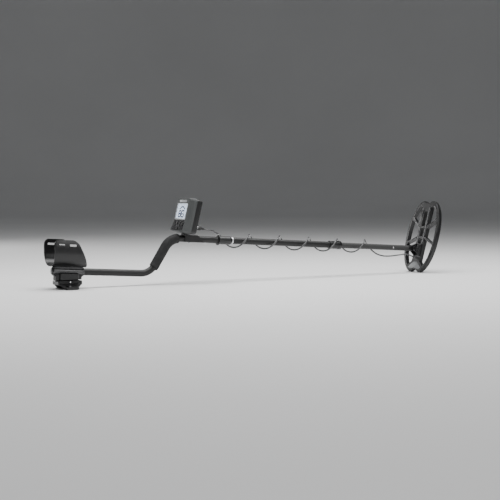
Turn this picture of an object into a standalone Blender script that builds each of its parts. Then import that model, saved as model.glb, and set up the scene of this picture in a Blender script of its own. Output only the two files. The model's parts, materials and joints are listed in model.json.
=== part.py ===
"""A metal detector at rest on its cuff stand and on the heel of its search coil.

Metres, +X towards the coil, +Y to the user's left, +Z up. The whole detector hangs on one empty,
shaft_frame, whose X axis is the axis of the straight shaft and whose origin is the corner where
the line of the hand grip meets that axis. The empty leans nose-down by REST_PITCH, so that the
stand's two feet and the coil's heel touch the ground plane together.
"""
import math

import bmesh
import bpy
from mathutils import Vector

# ---------------------------------------------------------------- clearances
GAP = 0.0003  # air between two pieces that rest on each other
FIT = 0.0003  # air round a piece that slides or turns in another
BOLT_FIT = 0.0003  # air round a bolt in its hole

# ---------------------------------------------------------------- stance
REST_PITCH = math.radians(3.5)  # the shaft's nose-down lean at rest
COIL_RAISE = math.radians(78.2)  # the coil's toe swung up from the line of the shaft

# ---------------------------------------------------------------- S-shaped stem and grip
TUBE_RADIUS = 0.0110
TUBE_WALL = 0.0014
GRIP_ANGLE = math.radians(61.0)  # the grip's slope against the two straight legs
GRIP_RUN = 0.1325  # corner to corner along the sloping leg
BEND_RADIUS = 0.056
REAR_RUN = 0.330  # lower corner to the rear end
STEM_FRONT = 0.1985  # upper corner to the stem's front end
GRIP_RADIUS = 0.0155
GRIP_OVERLAP = 0.012  # how far the foam reaches back into the lower bend
GRIP_FRONT = 0.029  # upper corner to the foam's front end
CAP_RIM = 0.0030
CAP_PLUG = 0.012

# ---------------------------------------------------------------- arm cuff, saddle and stand
CUFF_CENTRE = 0.0505  # rear end of the stem to the middle of the clamp
CUFF_SET_BACK = 0.0035  # the cuff's floor lies this much behind the clamp's middle
CUFF_LENGTH = 0.1128
CUFF_FRONT_SLANT = 0.043  # how far the front edge runs back on its way up
CUFF_REAR_SLANT = 0.005  # the rear edge runs back too, and so stands upright at rest
CUFF_HALF_WIDTH = 0.048
CUFF_BELLY = 0.043  # height at which the cuff is widest
CUFF_HEIGHT = 0.0815
CUFF_TUCK = 0.005  # how far each top edge leans back in
CUFF_WALL = 0.0030
CUFF_CORNER = 0.016
CUFF_FLAT = 0.0075  # half width of the flat strip along the bowl's floor
CUFF_SQUARENESS = 2.1  # exponent of the bowl's cross-section
SLOT_LENGTH = 0.023
SLOT_HEIGHT = 0.0065
SLOT_SPACING = 0.0375
SLOT_DROP = 0.0155  # top edge down to the middle of the slots
SADDLE_LENGTH = 0.100
SADDLE_RADIUS = 0.0127
SADDLE_TOP = 0.0140  # radius of the saddle's two flanges, on which the cuff lies
SPINE_HALF_WIDTH = 0.009
FLANGE_WIDTH = 0.0050
BLOCK_HALF_LENGTH = 0.0300
BLOCK_HALF_WIDTH = 0.019
BLOCK_TOP = -0.0040
BLOCK_BOTTOM = -0.0270
KEEL_HALF_WIDTH = 0.009
KEEL_BOTTOM = -0.0155
WING_REACH = 0.0120
WING_HALF_WIDTH = 0.012
WING_TOP = -0.0120
LUG_HALF = 0.008
LUG_DROP = 0.0075
STAND_HALF_LENGTH = 0.039
STAND_HALF_WIDTH = 0.024
STAND_DEPTH = 0.0135
LEG_STEP = 0.0072  # how far the legs' tops lie under the bar's top
FOOT_INNER = 0.038
FOOT_OUTER = 0.054
FOOT_HALF_LENGTH = 0.018
FOOT_THICKNESS = 0.0135
STAND_SCREW_DROP = 0.0040
STAND_SCREW_RADIUS = 0.0016
STAND_SCREW_HEAD = 0.0028
CUFF_BOLT_RADIUS = 0.0025
CUFF_BOLT_HEAD = 0.0058
CUFF_BOLT_HEAD_DEPTH = 0.0025
CUFF_BOLT_END = -0.0225

# ---------------------------------------------------------------- control box
BOX_X = 0.0244
BOX_Z = 0.0215
BOX_LEAN = math.radians(10.1)
BOX_HALF_WIDTH = 0.0485
BOX_HEIGHT = 0.115
BOX_DEPTH = 0.046
BOX_WALL = 0.0025
BOX_SPLIT = 0.026  # face to the joint between the two shells
BOX_CORNER = 0.010
CHAMFER_DEPTH = 0.016
CHAMFER_WIDTH = 0.0085
KEYPAD_TOP = 0.040  # below this height the face widens and comes forward
KEYPAD_JUT = 0.0050
KEYPAD_FLARE = 0.0060
KEYPAD_LEAN = math.atan(KEYPAD_JUT / KEYPAD_TOP)
FACE_EDGE = 0.0020  # top and bottom of the face stand in by this much
BACK_TAPER = 0.0030
WINDOW_HALF_WIDTH = 0.0350
WINDOW_HEIGHT = 0.050
WINDOW_CENTRE = 0.0685
WINDOW_THICKNESS = 0.0018
WINDOW_START = 0.0004  # the window lies this deep in the face
PANEL_THICKNESS = 0.0045
BOARD_THICKNESS = 0.0016
BOARD_HALF_WIDTH = 0.0345
BOARD_MARGIN = 0.0115  # the board stops this far below the box's top and above its bottom
BOARD_X = 0.0125
KEY_LENGTH = 0.0150
KEY_WIDTH = 0.0095
KEY_RADIUS = 0.0040
POWER_KEY_RADIUS = 0.0048
KEY_PROUD = 0.0018
KEY_DEPTH = 0.0085
KEY_ROW_HEIGHT = 0.0285
POWER_KEY_HEIGHT = 0.0105
KEY_FAN = ((0.0270, 26.0), (0.0098, 10.0))  # sideways place and tilt in degrees, each side
SPEAKER_RADIUS = 0.0170
SPEAKER_DEPTH = 0.0080
SPEAKER_HEIGHT = 0.0250
CELL_RADIUS = 0.00705
CELL_LENGTH = 0.0500
CELL_NUB_RADIUS = 0.0026
CELL_NUB = 0.0010
CELL_COUNT = 4
CELL_STACK_CENTRE = 0.0690
DOOR_HALF_WIDTH = 0.029
DOOR_HEIGHT = 0.062
DOOR_THICKNESS = 0.0024
DOOR_CENTRE = 0.0695
DOOR_TRAVEL_ROOM = 0.010  # rail left above the shut door
RAIL_WIDTH = 0.0030
RAIL_LIP = 0.0018
PILLAR_RADIUS = 0.0034
PILLAR_SIDE = 0.0388
PILLAR_HEIGHTS = (0.062, 0.086)
BOX_SCREW_RADIUS = 0.0014
BOX_SCREW_HEAD = 0.0028
BOX_SCREW_LENGTH = 0.012
BRACKET_REAR = 0.047
BRACKET_STEP = 0.092
BRACKET_FRONT = 0.113
BRACKET_HALF_WIDTH = 0.0148
BRACKET_BOTTOM = -0.0092
BRACKET_SCREW_X = 0.072
BRACKET_SCREW_RADIUS = 0.0021
BRACKET_SCREW_HEAD = 0.0052

# ---------------------------------------------------------------- cable plug
SOCKET_SIDE = -0.030
SOCKET_HEIGHT = 0.027
SOCKET_RADIUS = 0.0050
SOCKET_FLANGE = 0.0075
SOCKET_INSIDE = 0.0060
SOCKET_OUTSIDE = 0.0085
PLUG_RADIUS = 0.0050
PLUG_LENGTH = 0.023
NUT_RADIUS = 0.0078
NUT_LENGTH = 0.0100

# ---------------------------------------------------------------- telescoping shaft
SPIGOT_REAR = 0.110
SPIGOT_WALL = 0.0011
MIDDLE_WALL = 0.0008
MIDDLE_FRONT = 0.6455
COLLAR_LENGTH = 0.048
COLLAR_RADIUS = 0.0138
COLLAR_WALL = 0.0013
COLLAR_RIM_WIDTH = 0.0022
COLLAR_BAND_WIDTH = 0.0120
UPPER_COLLAR_ENDS = (0.0172, 0.0138)  # radii of the rim behind and of the band in front
LOWER_COLLAR_ENDS = (0.0142, 0.0150)
COLLAR_LIP = 0.0020
COLLAR_RIB = 0.0006
COLLAR_RIBS = 12
UPPER_COLLAR_X = 0.174
LOWER_COLLAR_X = 0.6167
STOP_RING_X = 0.2245
STOP_RING_WIDTH = 0.0050
STOP_RING_RADIUS = 0.0122
ROD_RADIUS = TUBE_RADIUS - MIDDLE_WALL - FIT
ROD_WALL = 0.0012
ROD_REAR = 0.448
UPPER_BUTTON_X = 0.1295
LOWER_BUTTON_X = 0.466
BUTTON_RADIUS = 0.0032
BUTTON_PROUD = 0.0030
HOLE_SPACING = 0.0635
HOLE_COUNT = 4
LEAF_THICKNESS = 0.0006
LEAF_HALF_WIDTH = 0.0034
LEAF_LENGTH = 0.034

# ---------------------------------------------------------------- coil pivot
PIVOT_X = 0.990
TONGUE_HALF_WIDTH = 0.0085
TONGUE_RADIUS = 0.0100
ROD_FRONT = 0.028  # pivot back to the rod's front end
ROD_PLUG = 0.090  # pivot back to the inner end of the rod's plug
RIVET_BACK = 0.098  # pivot back to the rivet
RIVET_RADIUS = 0.0015
RIVET_HEAD = 0.0030
WASHER_THICKNESS = 0.0036
WASHER_RADIUS = 0.0098
PIVOT_BOLT_RADIUS = 0.0040
PIVOT_HEAD_RADIUS = 0.0072
PIVOT_HEAD_DEPTH = 0.0042
EAR_THICKNESS = 0.0060
EAR_RADIUS = 0.0112
EAR_FOOT = 0.0235
KNOB_RADIUS = 0.0070
KNOB_DEPTH = 0.0085
KNOB_WING = 0.0165
KNOB_WING_WIDTH = 0.0042
BOLT_SPARE = 0.0012

# ---------------------------------------------------------------- search coil
COIL_LENGTH = 0.280
COIL_WIDTH = 0.172
COIL_FULLNESS = 2.25  # exponent of the outline, 2 is an ellipse
PIVOT_FROM_HEEL = 0.088
PIVOT_HEIGHT = 0.022  # pivot above the coil's top face
COIL_DEPTH = 0.0125
COIL_EDGE = 0.0030  # rounding of the outer top edge
COIL_ROOF = 0.0025
COIL_SIDE_WALL = 0.0020
COVER_THICKNESS = 0.0028
NOTCH_DEPTH = 0.0160
NOTCH_WIDTH = 0.0180
RIM_WIDTH = 0.0115
BAR_INNER = 0.0095
BAR_OUTER = 0.0215
STRUT_HALF_WIDTH = 0.0038
TOE_STRUT = (0.086, 0.122)  # where the upper strut leaves the bars and meets the rim
HEEL_STRUT = (0.047, 0.022)
WEB_APEX = -0.041
WEB_CORNER = -0.070
SLOT_HEEL = 0.024
LABEL_OUTER = 0.0330
LABEL_START = 0.0935
TOE = COIL_LENGTH - PIVOT_FROM_HEEL  # pivot to the tip of the oval, before its notch
TOE_WINDOW_END = TOE - 0.032
TOE_LOBE = TOE - 0.015
SLOT_TOE = TOE - 0.046
LABEL_END = TOE - 0.040
WINDING_RADIUS = 0.0016
WINDING_LEVELS = (-0.0275, -0.0315)
WINDING_CLEAR = 0.0055
GLAND_PLACE = (-0.0325, -0.0225)
GLAND_RADIUS = 0.0065
GLAND_LENGTH = 0.018

# ---------------------------------------------------------------- cable
CABLE_RADIUS = 0.0025
HELIX_RADIUS = 0.0225
HELIX_PITCH = 0.119
HELIX_TURNS = 5
HELIX_START = 0.176
HELIX_STEPS = 12
COLLAR_DIP = 0.0020  # the turns draw in over the two collars
COLLAR_DIP_REACH = 0.025
CABLE_BREAKS = (0.400, 0.790)  # shaft stations where one length of cable hands over to the next
CABLE_POINTS = (27, 30, 19)
END_STUB = 0.0012
TAIL_ROUTE = (
    (0.8010, 0.0225, 0.0010),
    (0.8300, 0.0130, -0.0235),
    (0.8580, 0.0010, -0.0320),
    (0.8900, -0.0090, -0.0300),
    (0.9200, -0.0170, -0.0245),
    (0.9430, -0.0215, -0.0215),
)
LEAD_ROUTE = ((0.1420, -0.0240, 0.0300), (0.1600, -0.0125, 0.0240))

SIDES = 20  # facets round the tubes
ARC_STEPS = 7
FINISHES = {
    "satin black tube": ((0.012, 0.012, 0.013), 0.30, 0.0),
    "foam": ((0.016, 0.016, 0.017), 0.80, 0.0),
    "moulded black": ((0.014, 0.014, 0.015), 0.42, 0.0),
    "box grey": ((0.060, 0.061, 0.064), 0.38, 0.0),
    "rubber": ((0.010, 0.010, 0.010), 0.75, 0.0),
    "bright steel": ((0.62, 0.62, 0.63), 0.25, 1.0),
    "clear": ((0.80, 0.83, 0.88), 0.06, 0.0),
    "display": ((0.78, 0.82, 0.90), 0.35, 0.0),
    "board green": ((0.02, 0.16, 0.06), 0.50, 0.0),
    "copper": ((0.72, 0.30, 0.12), 0.35, 1.0),
    "white nylon": ((0.85, 0.85, 0.83), 0.40, 0.0),
    "rod grey": ((0.030, 0.030, 0.032), 0.45, 0.0),
}


# ================================================================ making of objects
def clear_scene():
    for obj in list(bpy.data.objects):
        bpy.data.objects.remove(obj)


def finish(name):
    """The material of that name, made once."""
    made = bpy.data.materials.get(name)
    if made:
        return made
    colour, roughness, metallic = FINISHES[name]
    made = bpy.data.materials.new(name)
    made.use_nodes = True
    shader = made.node_tree.nodes["Principled BSDF"]
    shader.inputs["Base Color"].default_value = (*colour, 1.0)
    shader.inputs["Roughness"].default_value = roughness
    shader.inputs["Metallic"].default_value = metallic
    return made


def frame(name, parent=None, place=(0.0, 0.0, 0.0), turn=(0.0, 0.0, 0.0)):
    """An empty that carries pieces: place and turn are measured in its parent."""
    empty = bpy.data.objects.new(name, None)
    empty.parent = parent
    empty.location = place
    empty.rotation_euler = turn
    bpy.context.collection.objects.link(empty)
    return empty


def piece(name, form, material, parent, place=(0.0, 0.0, 0.0), turn=(0.0, 0.0, 0.0)):
    """One named object from a finished bmesh."""
    bmesh.ops.recalc_face_normals(form, faces=form.faces)
    mesh = bpy.data.meshes.new(name)
    form.to_mesh(mesh)
    form.free()
    mesh.materials.append(finish(material))
    mesh.shade_smooth()
    mesh.set_sharp_from_angle(angle=math.radians(35.0))
    obj = bpy.data.objects.new(name, mesh)
    obj.parent = parent
    obj.location = place
    obj.rotation_euler = turn
    bpy.context.collection.objects.link(obj)
    return obj


def tool(name, form, parent, place=(0.0, 0.0, 0.0), turn=(0.0, 0.0, 0.0)):
    """A shape that only cuts or joins others: it is no piece of the detector."""
    obj = piece(name, form, "moulded black", parent, place, turn)
    obj.hide_render = True
    obj.display_type = "WIRE"
    return obj


def combine(target, shape, operation):
    modifier = target.modifiers.new(operation.title() + " " + shape.name, "BOOLEAN")
    modifier.operation = operation
    modifier.solver = "EXACT"
    modifier.object = shape


def cut(target, *shapes):
    for shape in shapes:
        combine(target, shape, "DIFFERENCE")


def join(target, *shapes):
    for shape in shapes:
        combine(target, shape, "UNION")


# ================================================================ forms
def skin(rings, closed=False):
    """Faces between rings of equal count. The last ring meets the first, or both ends are capped."""
    form = bmesh.new()
    loops = [[form.verts.new(point) for point in ring] for ring in rings]
    pairs = list(zip(loops, loops[1:]))
    if closed:
        pairs.append((loops[-1], loops[0]))
    for one, two in pairs:
        for i, corner in enumerate(one):
            j = (i + 1) % len(one)
            form.faces.new((corner, one[j], two[j], two[i]))
    if not closed:
        form.faces.new(loops[0])
        form.faces.new(loops[-1])
    return form


def circle(radius, sides, start=0.0):
    """Corners of a regular polygon round the origin."""
    step = math.tau / sides
    return [
        (radius * math.cos(start + i * step), radius * math.sin(start + i * step))
        for i in range(sides)
    ]


def turned(profile, sides=SIDES, closed=False, axis="X", start=0.0):
    """A turned piece. The profile holds pairs of place along the axis and radius."""
    rings = []
    for along, radius in profile:
        ring = [(along, a, b) for a, b in circle(radius, sides, start)]
        if axis == "Y":
            ring = [(a, along, b) for along, a, b in ring]
        if axis == "Z":
            ring = [(a, b, along) for along, a, b in ring]
        rings.append(ring)
    return skin(rings, closed)


def pipe(low, high, outer, inner, sides=SIDES, axis="X"):
    return turned(((low, outer), (high, outer), (high, inner), (low, inner)), sides, True, axis)


def prism(outline, low, high, axis="Z"):
    """An outline pushed along an axis. Its pairs are the two other axes in X, Y, Z order."""
    place = {
        "X": lambda a, b, c: (c, a, b),
        "Y": lambda a, b, c: (a, c, b),
        "Z": lambda a, b, c: (a, b, c),
    }[axis]
    return skin([[place(a, b, level) for a, b in outline] for level in (low, high)])


def block(low, high):
    """A plain brick between two corners."""
    outline = ((low[0], low[1]), (high[0], low[1]), (high[0], high[1]), (low[0], high[1]))
    return prism(outline, low[2], high[2])


def rounded(low, high, radius, steps=3):
    """A rectangle with round corners, from its two outer corners."""
    corners = (
        (high[0] - radius, high[1] - radius, 0.0),
        (low[0] + radius, high[1] - radius, 90.0),
        (low[0] + radius, low[1] + radius, 180.0),
        (high[0] - radius, low[1] + radius, 270.0),
    )
    outline = []
    for a, b, start in corners:
        for i in range(steps + 1):
            angle = math.radians(start + 90.0 * i / steps)
            outline.append((a + radius * math.cos(angle), b + radius * math.sin(angle)))
    return outline


def bevelled(low, high, chamfer):
    """A rectangle with its four corners cut off."""
    return rounded(low, high, chamfer, 1)


def widened(outline, amount):
    """An outline moved outwards by the amount, along the middle line of each corner."""
    area = sum(a[0] * b[1] - b[0] * a[1] for a, b in zip(outline, outline[1:] + outline[:1]))
    side = 1.0 if area > 0.0 else -1.0
    moved = []
    for i, (x, y) in enumerate(outline):
        before = Vector((x, y)) - Vector(outline[i - 1])
        after = Vector(outline[(i + 1) % len(outline)]) - Vector((x, y))
        one = Vector((before.y, -before.x)).normalized() * side
        two = Vector((after.y, -after.x)).normalized() * side
        middle = (one + two).normalized()
        reach = amount / max(middle.dot(one), 0.5)
        moved.append((x + middle.x * reach, y + middle.y * reach))
    return moved


# ================================================================ S-shaped stem
BEND_REACH = BEND_RADIUS * math.tan(GRIP_ANGLE / 2.0)
BEND_LENGTH = BEND_RADIUS * GRIP_ANGLE
LOWER_X = -GRIP_RUN * math.cos(GRIP_ANGLE)
LOWER_Z = -GRIP_RUN * math.sin(GRIP_ANGLE)
REAR_X = LOWER_X - REAR_RUN
STEM_LEGS = (
    (REAR_RUN - BEND_REACH, 0.0),
    (BEND_LENGTH, GRIP_ANGLE),
    (GRIP_RUN - 2.0 * BEND_REACH, 0.0),
    (BEND_LENGTH, -GRIP_ANGLE),
    (STEM_FRONT - BEND_REACH, 0.0),
)
STEM_BORE = TUBE_RADIUS - TUBE_WALL


def stem_pose(distance):
    """Point and heading of the stem's centreline, at a distance along it from the rear end."""
    x, z, heading = REAR_X, LOWER_Z, 0.0
    for length, turn in STEM_LEGS:
        step = min(distance, length)
        if turn:
            radius = length / turn
            after = heading + turn * step / length
            x += radius * (math.sin(after) - math.sin(heading))
            z += radius * (math.cos(heading) - math.cos(after))
            heading = after
        else:
            x += step * math.cos(heading)
            z += step * math.sin(heading)
        distance -= step
        if distance <= 0.0:
            break
    return Vector((x, 0.0, z)), heading


def stem_ring(distance, radius, sides=SIDES):
    """A circle of points round the stem's centreline."""
    centre, heading = stem_pose(distance)
    across = Vector((-math.sin(heading), 0.0, math.cos(heading)))
    return [centre + Vector((0.0, a, 0.0)) + across * b for a, b in circle(radius, sides)]


def stem_stations(start, end):
    """Distances along the stem at which a sweep needs a ring between start and end."""
    stations, passed = [start], 0.0
    for length, turn in STEM_LEGS:
        if turn:
            steps = [passed + length * i / ARC_STEPS for i in range(ARC_STEPS + 1)]
            stations += [step for step in steps if start + 0.002 < step < end - 0.002]
        passed += length
    return stations + [end]


def make_stem(shaft):
    length = sum(run for run, _ in STEM_LEGS)
    stations = stem_stations(0.0, length)
    rings = [stem_ring(station, TUBE_RADIUS) for station in stations]
    rings += [stem_ring(station, STEM_BORE) for station in reversed(stations)]
    return piece("s_stem", skin(rings, closed=True), "satin black tube", shaft)


def make_grip(shaft):
    lower_bend_end = STEM_LEGS[0][0] + BEND_LENGTH
    upper_bend_end = lower_bend_end + STEM_LEGS[2][0] + BEND_LENGTH
    start = lower_bend_end - GRIP_OVERLAP
    end = upper_bend_end + GRIP_FRONT - BEND_REACH
    inner = TUBE_RADIUS + GAP
    stations = stem_stations(start, end)
    edge = 0.003
    outer = [(start, GRIP_RADIUS - edge), (start + edge, GRIP_RADIUS)]
    outer += [(station, GRIP_RADIUS) for station in stations[1:-1] if start + edge < station < end - edge]
    outer += [(end - edge, GRIP_RADIUS), (end, GRIP_RADIUS - edge)]
    rings = [stem_ring(station, radius) for station, radius in outer]
    rings += [stem_ring(station, inner) for station in reversed(stations)]
    return piece("grip_sleeve", skin(rings, closed=True), "foam", shaft)


def make_end_cap(shaft):
    plug = STEM_BORE - FIT
    profile = (
        (-CAP_RIM, TUBE_RADIUS - 0.0012),
        (-CAP_RIM + 0.0010, TUBE_RADIUS),
        (-GAP, TUBE_RADIUS),
        (-GAP, plug),
        (CAP_PLUG - 0.001, plug),
        (CAP_PLUG, plug - 0.001),
    )
    piece("stem_end_cap", turned(profile), "moulded black", shaft, (REAR_X, 0.0, LOWER_Z))


# ================================================================ arm cuff
def cuff_section():
    """Half of the bowl's middle line, from the floor to the top edge: sideways place and height."""
    power = 2.0 / CUFF_SQUARENESS
    points = []
    for i in range(8):
        angle = math.radians(90.0 * i / 7)
        side = CUFF_FLAT + (CUFF_HALF_WIDTH - CUFF_FLAT) * math.sin(angle) ** power
        points.append((side, CUFF_BELLY * (1.0 - math.cos(angle) ** power)))
    for i in range(1, 8):
        share = math.sin(math.radians(90.0 * i / 7))
        height = CUFF_BELLY + (CUFF_HEIGHT - CUFF_BELLY) * share
        points.append((CUFF_HALF_WIDTH - CUFF_TUCK * share * share, height))
    return points


def cuff_ends(height):
    """Rear and front edge of the cuff at a height: both edges slant and the top corners are round."""
    share = height / CUFF_HEIGHT
    rear = -CUFF_SET_BACK - CUFF_LENGTH / 2.0 - CUFF_REAR_SLANT * share
    front = -CUFF_SET_BACK + CUFF_LENGTH / 2.0 - CUFF_FRONT_SLANT * share
    over = max(0.0, height - (CUFF_HEIGHT - CUFF_CORNER))
    corner = CUFF_CORNER - math.sqrt(max(0.0, CUFF_CORNER**2 - over**2))
    return rear + corner, front - corner


def make_cuff(cuff, bolt_hole):
    half = cuff_section()
    across = [(-side, height) for side, height in reversed(half)] + half
    floor = SADDLE_TOP + GAP + CUFF_WALL / 2.0
    form = bmesh.new()
    rows = []
    for side, height in across:
        rear, front = cuff_ends(height)
        rows.append([form.verts.new((x, side, floor + height)) for x in (rear, front)])
    for one, two in zip(rows, rows[1:]):
        form.faces.new((one[0], one[1], two[1], two[0]))
    shell = piece("arm_cuff", form, "moulded black", cuff)
    wall = shell.modifiers.new("Wall", "SOLIDIFY")
    wall.thickness = CUFF_WALL
    wall.offset = 0.0
    wall.use_even_offset = True
    slot_z = floor + CUFF_HEIGHT - SLOT_DROP
    rear, front = cuff_ends(CUFF_HEIGHT - SLOT_DROP)
    reach = CUFF_HALF_WIDTH + 2.0 * CUFF_WALL
    for label, side in (("rear", -0.5), ("front", 0.5)):
        middle = (rear + front) / 2.0 + side * SLOT_SPACING
        outline = rounded(
            (middle - SLOT_LENGTH / 2.0, slot_z - SLOT_HEIGHT / 2.0),
            (middle + SLOT_LENGTH / 2.0, slot_z + SLOT_HEIGHT / 2.0),
            SLOT_HEIGHT * 0.45,
            2,
        )
        cut(shell, tool("cuff_slot_" + label, prism(outline, -reach, reach, "Y"), cuff))
    cut(shell, bolt_hole)


def make_saddle(cuff, bolt_hole):
    """The cuff's bed: a sleeve round the tube with a flange at each end and a spine on top."""
    bore = TUBE_RADIUS + GAP
    reach = SADDLE_LENGTH / 2.0
    neck = reach - FLANGE_WIDTH
    profile = (
        (-reach, SADDLE_TOP - 0.0008),
        (-reach + 0.0008, SADDLE_TOP),
        (-neck, SADDLE_TOP),
        (-neck, SADDLE_RADIUS),
        (neck, SADDLE_RADIUS),
        (neck, SADDLE_TOP),
        (reach - 0.0008, SADDLE_TOP),
        (reach, SADDLE_TOP - 0.0008),
        (reach, bore),
        (-reach, bore),
    )
    saddle = piece("cuff_saddle", turned(profile, closed=True), "moulded black", cuff)
    inside = (bore + SADDLE_RADIUS) / 2.0
    edge = math.acos(SPINE_HALF_WIDTH / inside)
    arc = [edge + (math.pi - 2.0 * edge) * i / 6 for i in range(7)]
    outline = [(inside * math.cos(angle), inside * math.sin(angle)) for angle in arc]
    outline += [(-SPINE_HALF_WIDTH, SADDLE_TOP), (SPINE_HALF_WIDTH, SADDLE_TOP)]
    join(saddle, tool("spine", prism(outline, -neck - 0.001, neck + 0.001, "X"), cuff))
    cut(saddle, bolt_hole)


def make_stand_block(cuff, bolt_hole):
    """The lower half of the clamp, whose underside is level while the shaft leans."""
    rise = math.tan(REST_PITCH)

    def under(x, drop=0.0):
        return BLOCK_BOTTOM + rise * x - drop

    length = BLOCK_HALF_LENGTH
    outline = ((-length, BLOCK_TOP), (length, BLOCK_TOP), (length, under(length)), (-length, under(-length)))
    body = prism(outline, -BLOCK_HALF_WIDTH, BLOCK_HALF_WIDTH, "Y")
    clamp = piece("stand_block", body, "moulded black", cuff)
    edges = clamp.modifiers.new("Edges", "BEVEL")
    edges.width = 0.0022
    edges.segments = 1
    edges.limit_method = "ANGLE"
    reach = SADDLE_LENGTH / 2.0 - FLANGE_WIDTH - GAP
    keel = block((-reach, -KEEL_HALF_WIDTH, KEEL_BOTTOM), (reach, KEEL_HALF_WIDTH, -TUBE_RADIUS * 0.6))
    join(clamp, tool("keel", keel, cuff))
    span = length + WING_REACH
    wing = ((-span, WING_TOP), (span, WING_TOP), (span, under(span, -0.0015)), (-span, under(-span, -0.0015)))
    join(clamp, tool("wings", prism(wing, -WING_HALF_WIDTH, WING_HALF_WIDTH, "Y"), cuff))
    lug = ((-LUG_HALF, under(0.0) + 0.004), (LUG_HALF, under(0.0) + 0.004))
    lug += ((LUG_HALF, under(LUG_HALF, LUG_DROP)), (-LUG_HALF, under(-LUG_HALF, LUG_DROP)))
    join(clamp, tool("lug", prism(lug, -LUG_HALF, LUG_HALF, "Y"), cuff))
    bore = turned(((-SADDLE_LENGTH, SADDLE_RADIUS + GAP), (SADDLE_LENGTH, SADDLE_RADIUS + GAP)))
    cut(clamp, tool("sleeve_clearance", bore, cuff), bolt_hole)
    return clamp


def make_cuff_bolt(cuff):
    seat = SADDLE_TOP + CUFF_WALL + 2.0 * GAP
    head = seat + CUFF_BOLT_HEAD_DEPTH
    profile = (
        (CUFF_BOLT_END, CUFF_BOLT_RADIUS),
        (seat, CUFF_BOLT_RADIUS),
        (seat, CUFF_BOLT_HEAD),
        (head - 0.0008, CUFF_BOLT_HEAD),
        (head, CUFF_BOLT_HEAD - 0.0012),
    )
    piece("cuff_bolt", turned(profile, 12, axis="Z"), "bright steel", cuff)


def stand_section(side, half_length, top, bottom, chamfer=0.002):
    outline = bevelled((-half_length, bottom), (half_length, top), chamfer)
    return [(x, side, z) for x, z in outline]


def make_stand(level, ground):
    """The stand: a bar under the block and two legs that end in flat feet on the ground."""
    top = -GAP
    bar = top - STAND_DEPTH
    foot_top = ground + FOOT_THICKNESS
    knee = (FOOT_INNER + STAND_HALF_WIDTH) / 2.0
    half = [
        (STAND_HALF_WIDTH, STAND_HALF_LENGTH, top, bar),
        (STAND_HALF_WIDTH + 0.0008, STAND_HALF_LENGTH - 0.003, top - LEG_STEP, bar - 0.001),
        (knee, STAND_HALF_LENGTH - 0.010, top - LEG_STEP - 0.002, bar - 0.006),
        (FOOT_INNER, FOOT_HALF_LENGTH + 0.001, foot_top, ground),
        (FOOT_OUTER, FOOT_HALF_LENGTH - 0.001, foot_top - 0.003, ground),
    ]
    sections = [(-side, *rest) for side, *rest in reversed(half)] + half
    form = skin([stand_section(*section) for section in sections])
    stand = piece("stand", form, "moulded black", level)
    room = LUG_HALF + FIT
    long_room = room + LUG_DROP * math.tan(REST_PITCH)
    pocket = block((-long_room, -room, -LUG_DROP - 2.0 * GAP), (long_room, room, 0.004))
    cut(stand, tool("lug_pocket", pocket, level))
    return stand


def make_stand_screw(level, stand, clamp):
    """A cross screw that holds the stand on the block's lug, its head on the near side."""
    seat = -(STAND_HALF_WIDTH + 0.0008) - GAP
    profile = (
        (seat - 0.0016, STAND_SCREW_HEAD - 0.0006),
        (seat - 0.0010, STAND_SCREW_HEAD),
        (seat, STAND_SCREW_HEAD),
        (seat, STAND_SCREW_RADIUS),
        (LUG_HALF + 0.004, STAND_SCREW_RADIUS),
    )
    place = (0.0, 0.0, -STAND_SCREW_DROP)
    piece("stand_screw", turned(profile, 10, axis="Y"), "bright steel", level, place)
    hole = ((seat - 0.006, STAND_SCREW_RADIUS + FIT), (LUG_HALF + 0.0045, STAND_SCREW_RADIUS + FIT))
    drill = tool("stand_screw_hole", turned(hole, 10, axis="Y"), level, place)
    cut(stand, drill)
    cut(clamp, drill)


# ================================================================ control box
def box_outline(inset_side, inset_top, inset_bottom, corner):
    """The box seen along its depth, moved in by the insets: sideways and height."""
    low = (-BOX_HALF_WIDTH + inset_side, inset_bottom)
    high = (BOX_HALF_WIDTH - inset_side, BOX_HEIGHT - inset_top)
    return rounded(low, high, corner)


def box_ring(x, inset_side=0.0, inset_end=0.0, corner=BOX_CORNER):
    return [(x, y, z) for y, z in box_outline(inset_side, inset_end, inset_end, corner)]


def make_face_shell(box):
    wall = BOX_WALL
    inner_corner = BOX_CORNER - wall
    rings = [
        box_ring(0.0, CHAMFER_WIDTH + 0.0006, FACE_EDGE + 0.0008, 0.006),
        box_ring(0.0012, CHAMFER_WIDTH, FACE_EDGE, 0.006),
        box_ring(CHAMFER_DEPTH, 0.0008, 0.0),
        box_ring(CHAMFER_DEPTH + 0.002, 0.0, 0.0),
        box_ring(BOX_SPLIT, 0.0, 0.0),
        box_ring(BOX_SPLIT, wall, wall, inner_corner),
        box_ring(CHAMFER_DEPTH + wall, wall, wall, inner_corner),
        box_ring(wall, CHAMFER_WIDTH + 0.4 * wall, FACE_EDGE + wall, 0.004),
    ]
    form = skin(rings)
    bring_out_keypad(form)
    shell = piece("face_shell", form, "box grey", box)
    start = display_back() + GAP
    for index, (side, height) in enumerate(pillar_places()):
        post = turned(((start, PILLAR_RADIUS), (BOX_DEPTH - wall - GAP, PILLAR_RADIUS)), 10)
        join(shell, tool("pillar_%d" % (index + 1), post, box, (0.0, side, height)))
    opening = rounded(
        (-WINDOW_HALF_WIDTH, WINDOW_CENTRE - WINDOW_HEIGHT / 2.0),
        (WINDOW_HALF_WIDTH, WINDOW_CENTRE + WINDOW_HEIGHT / 2.0),
        0.003,
        2,
    )
    cut(shell, tool("window_opening", prism(opening, -0.004, 2.0 * wall, "X"), box))
    return shell


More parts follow.
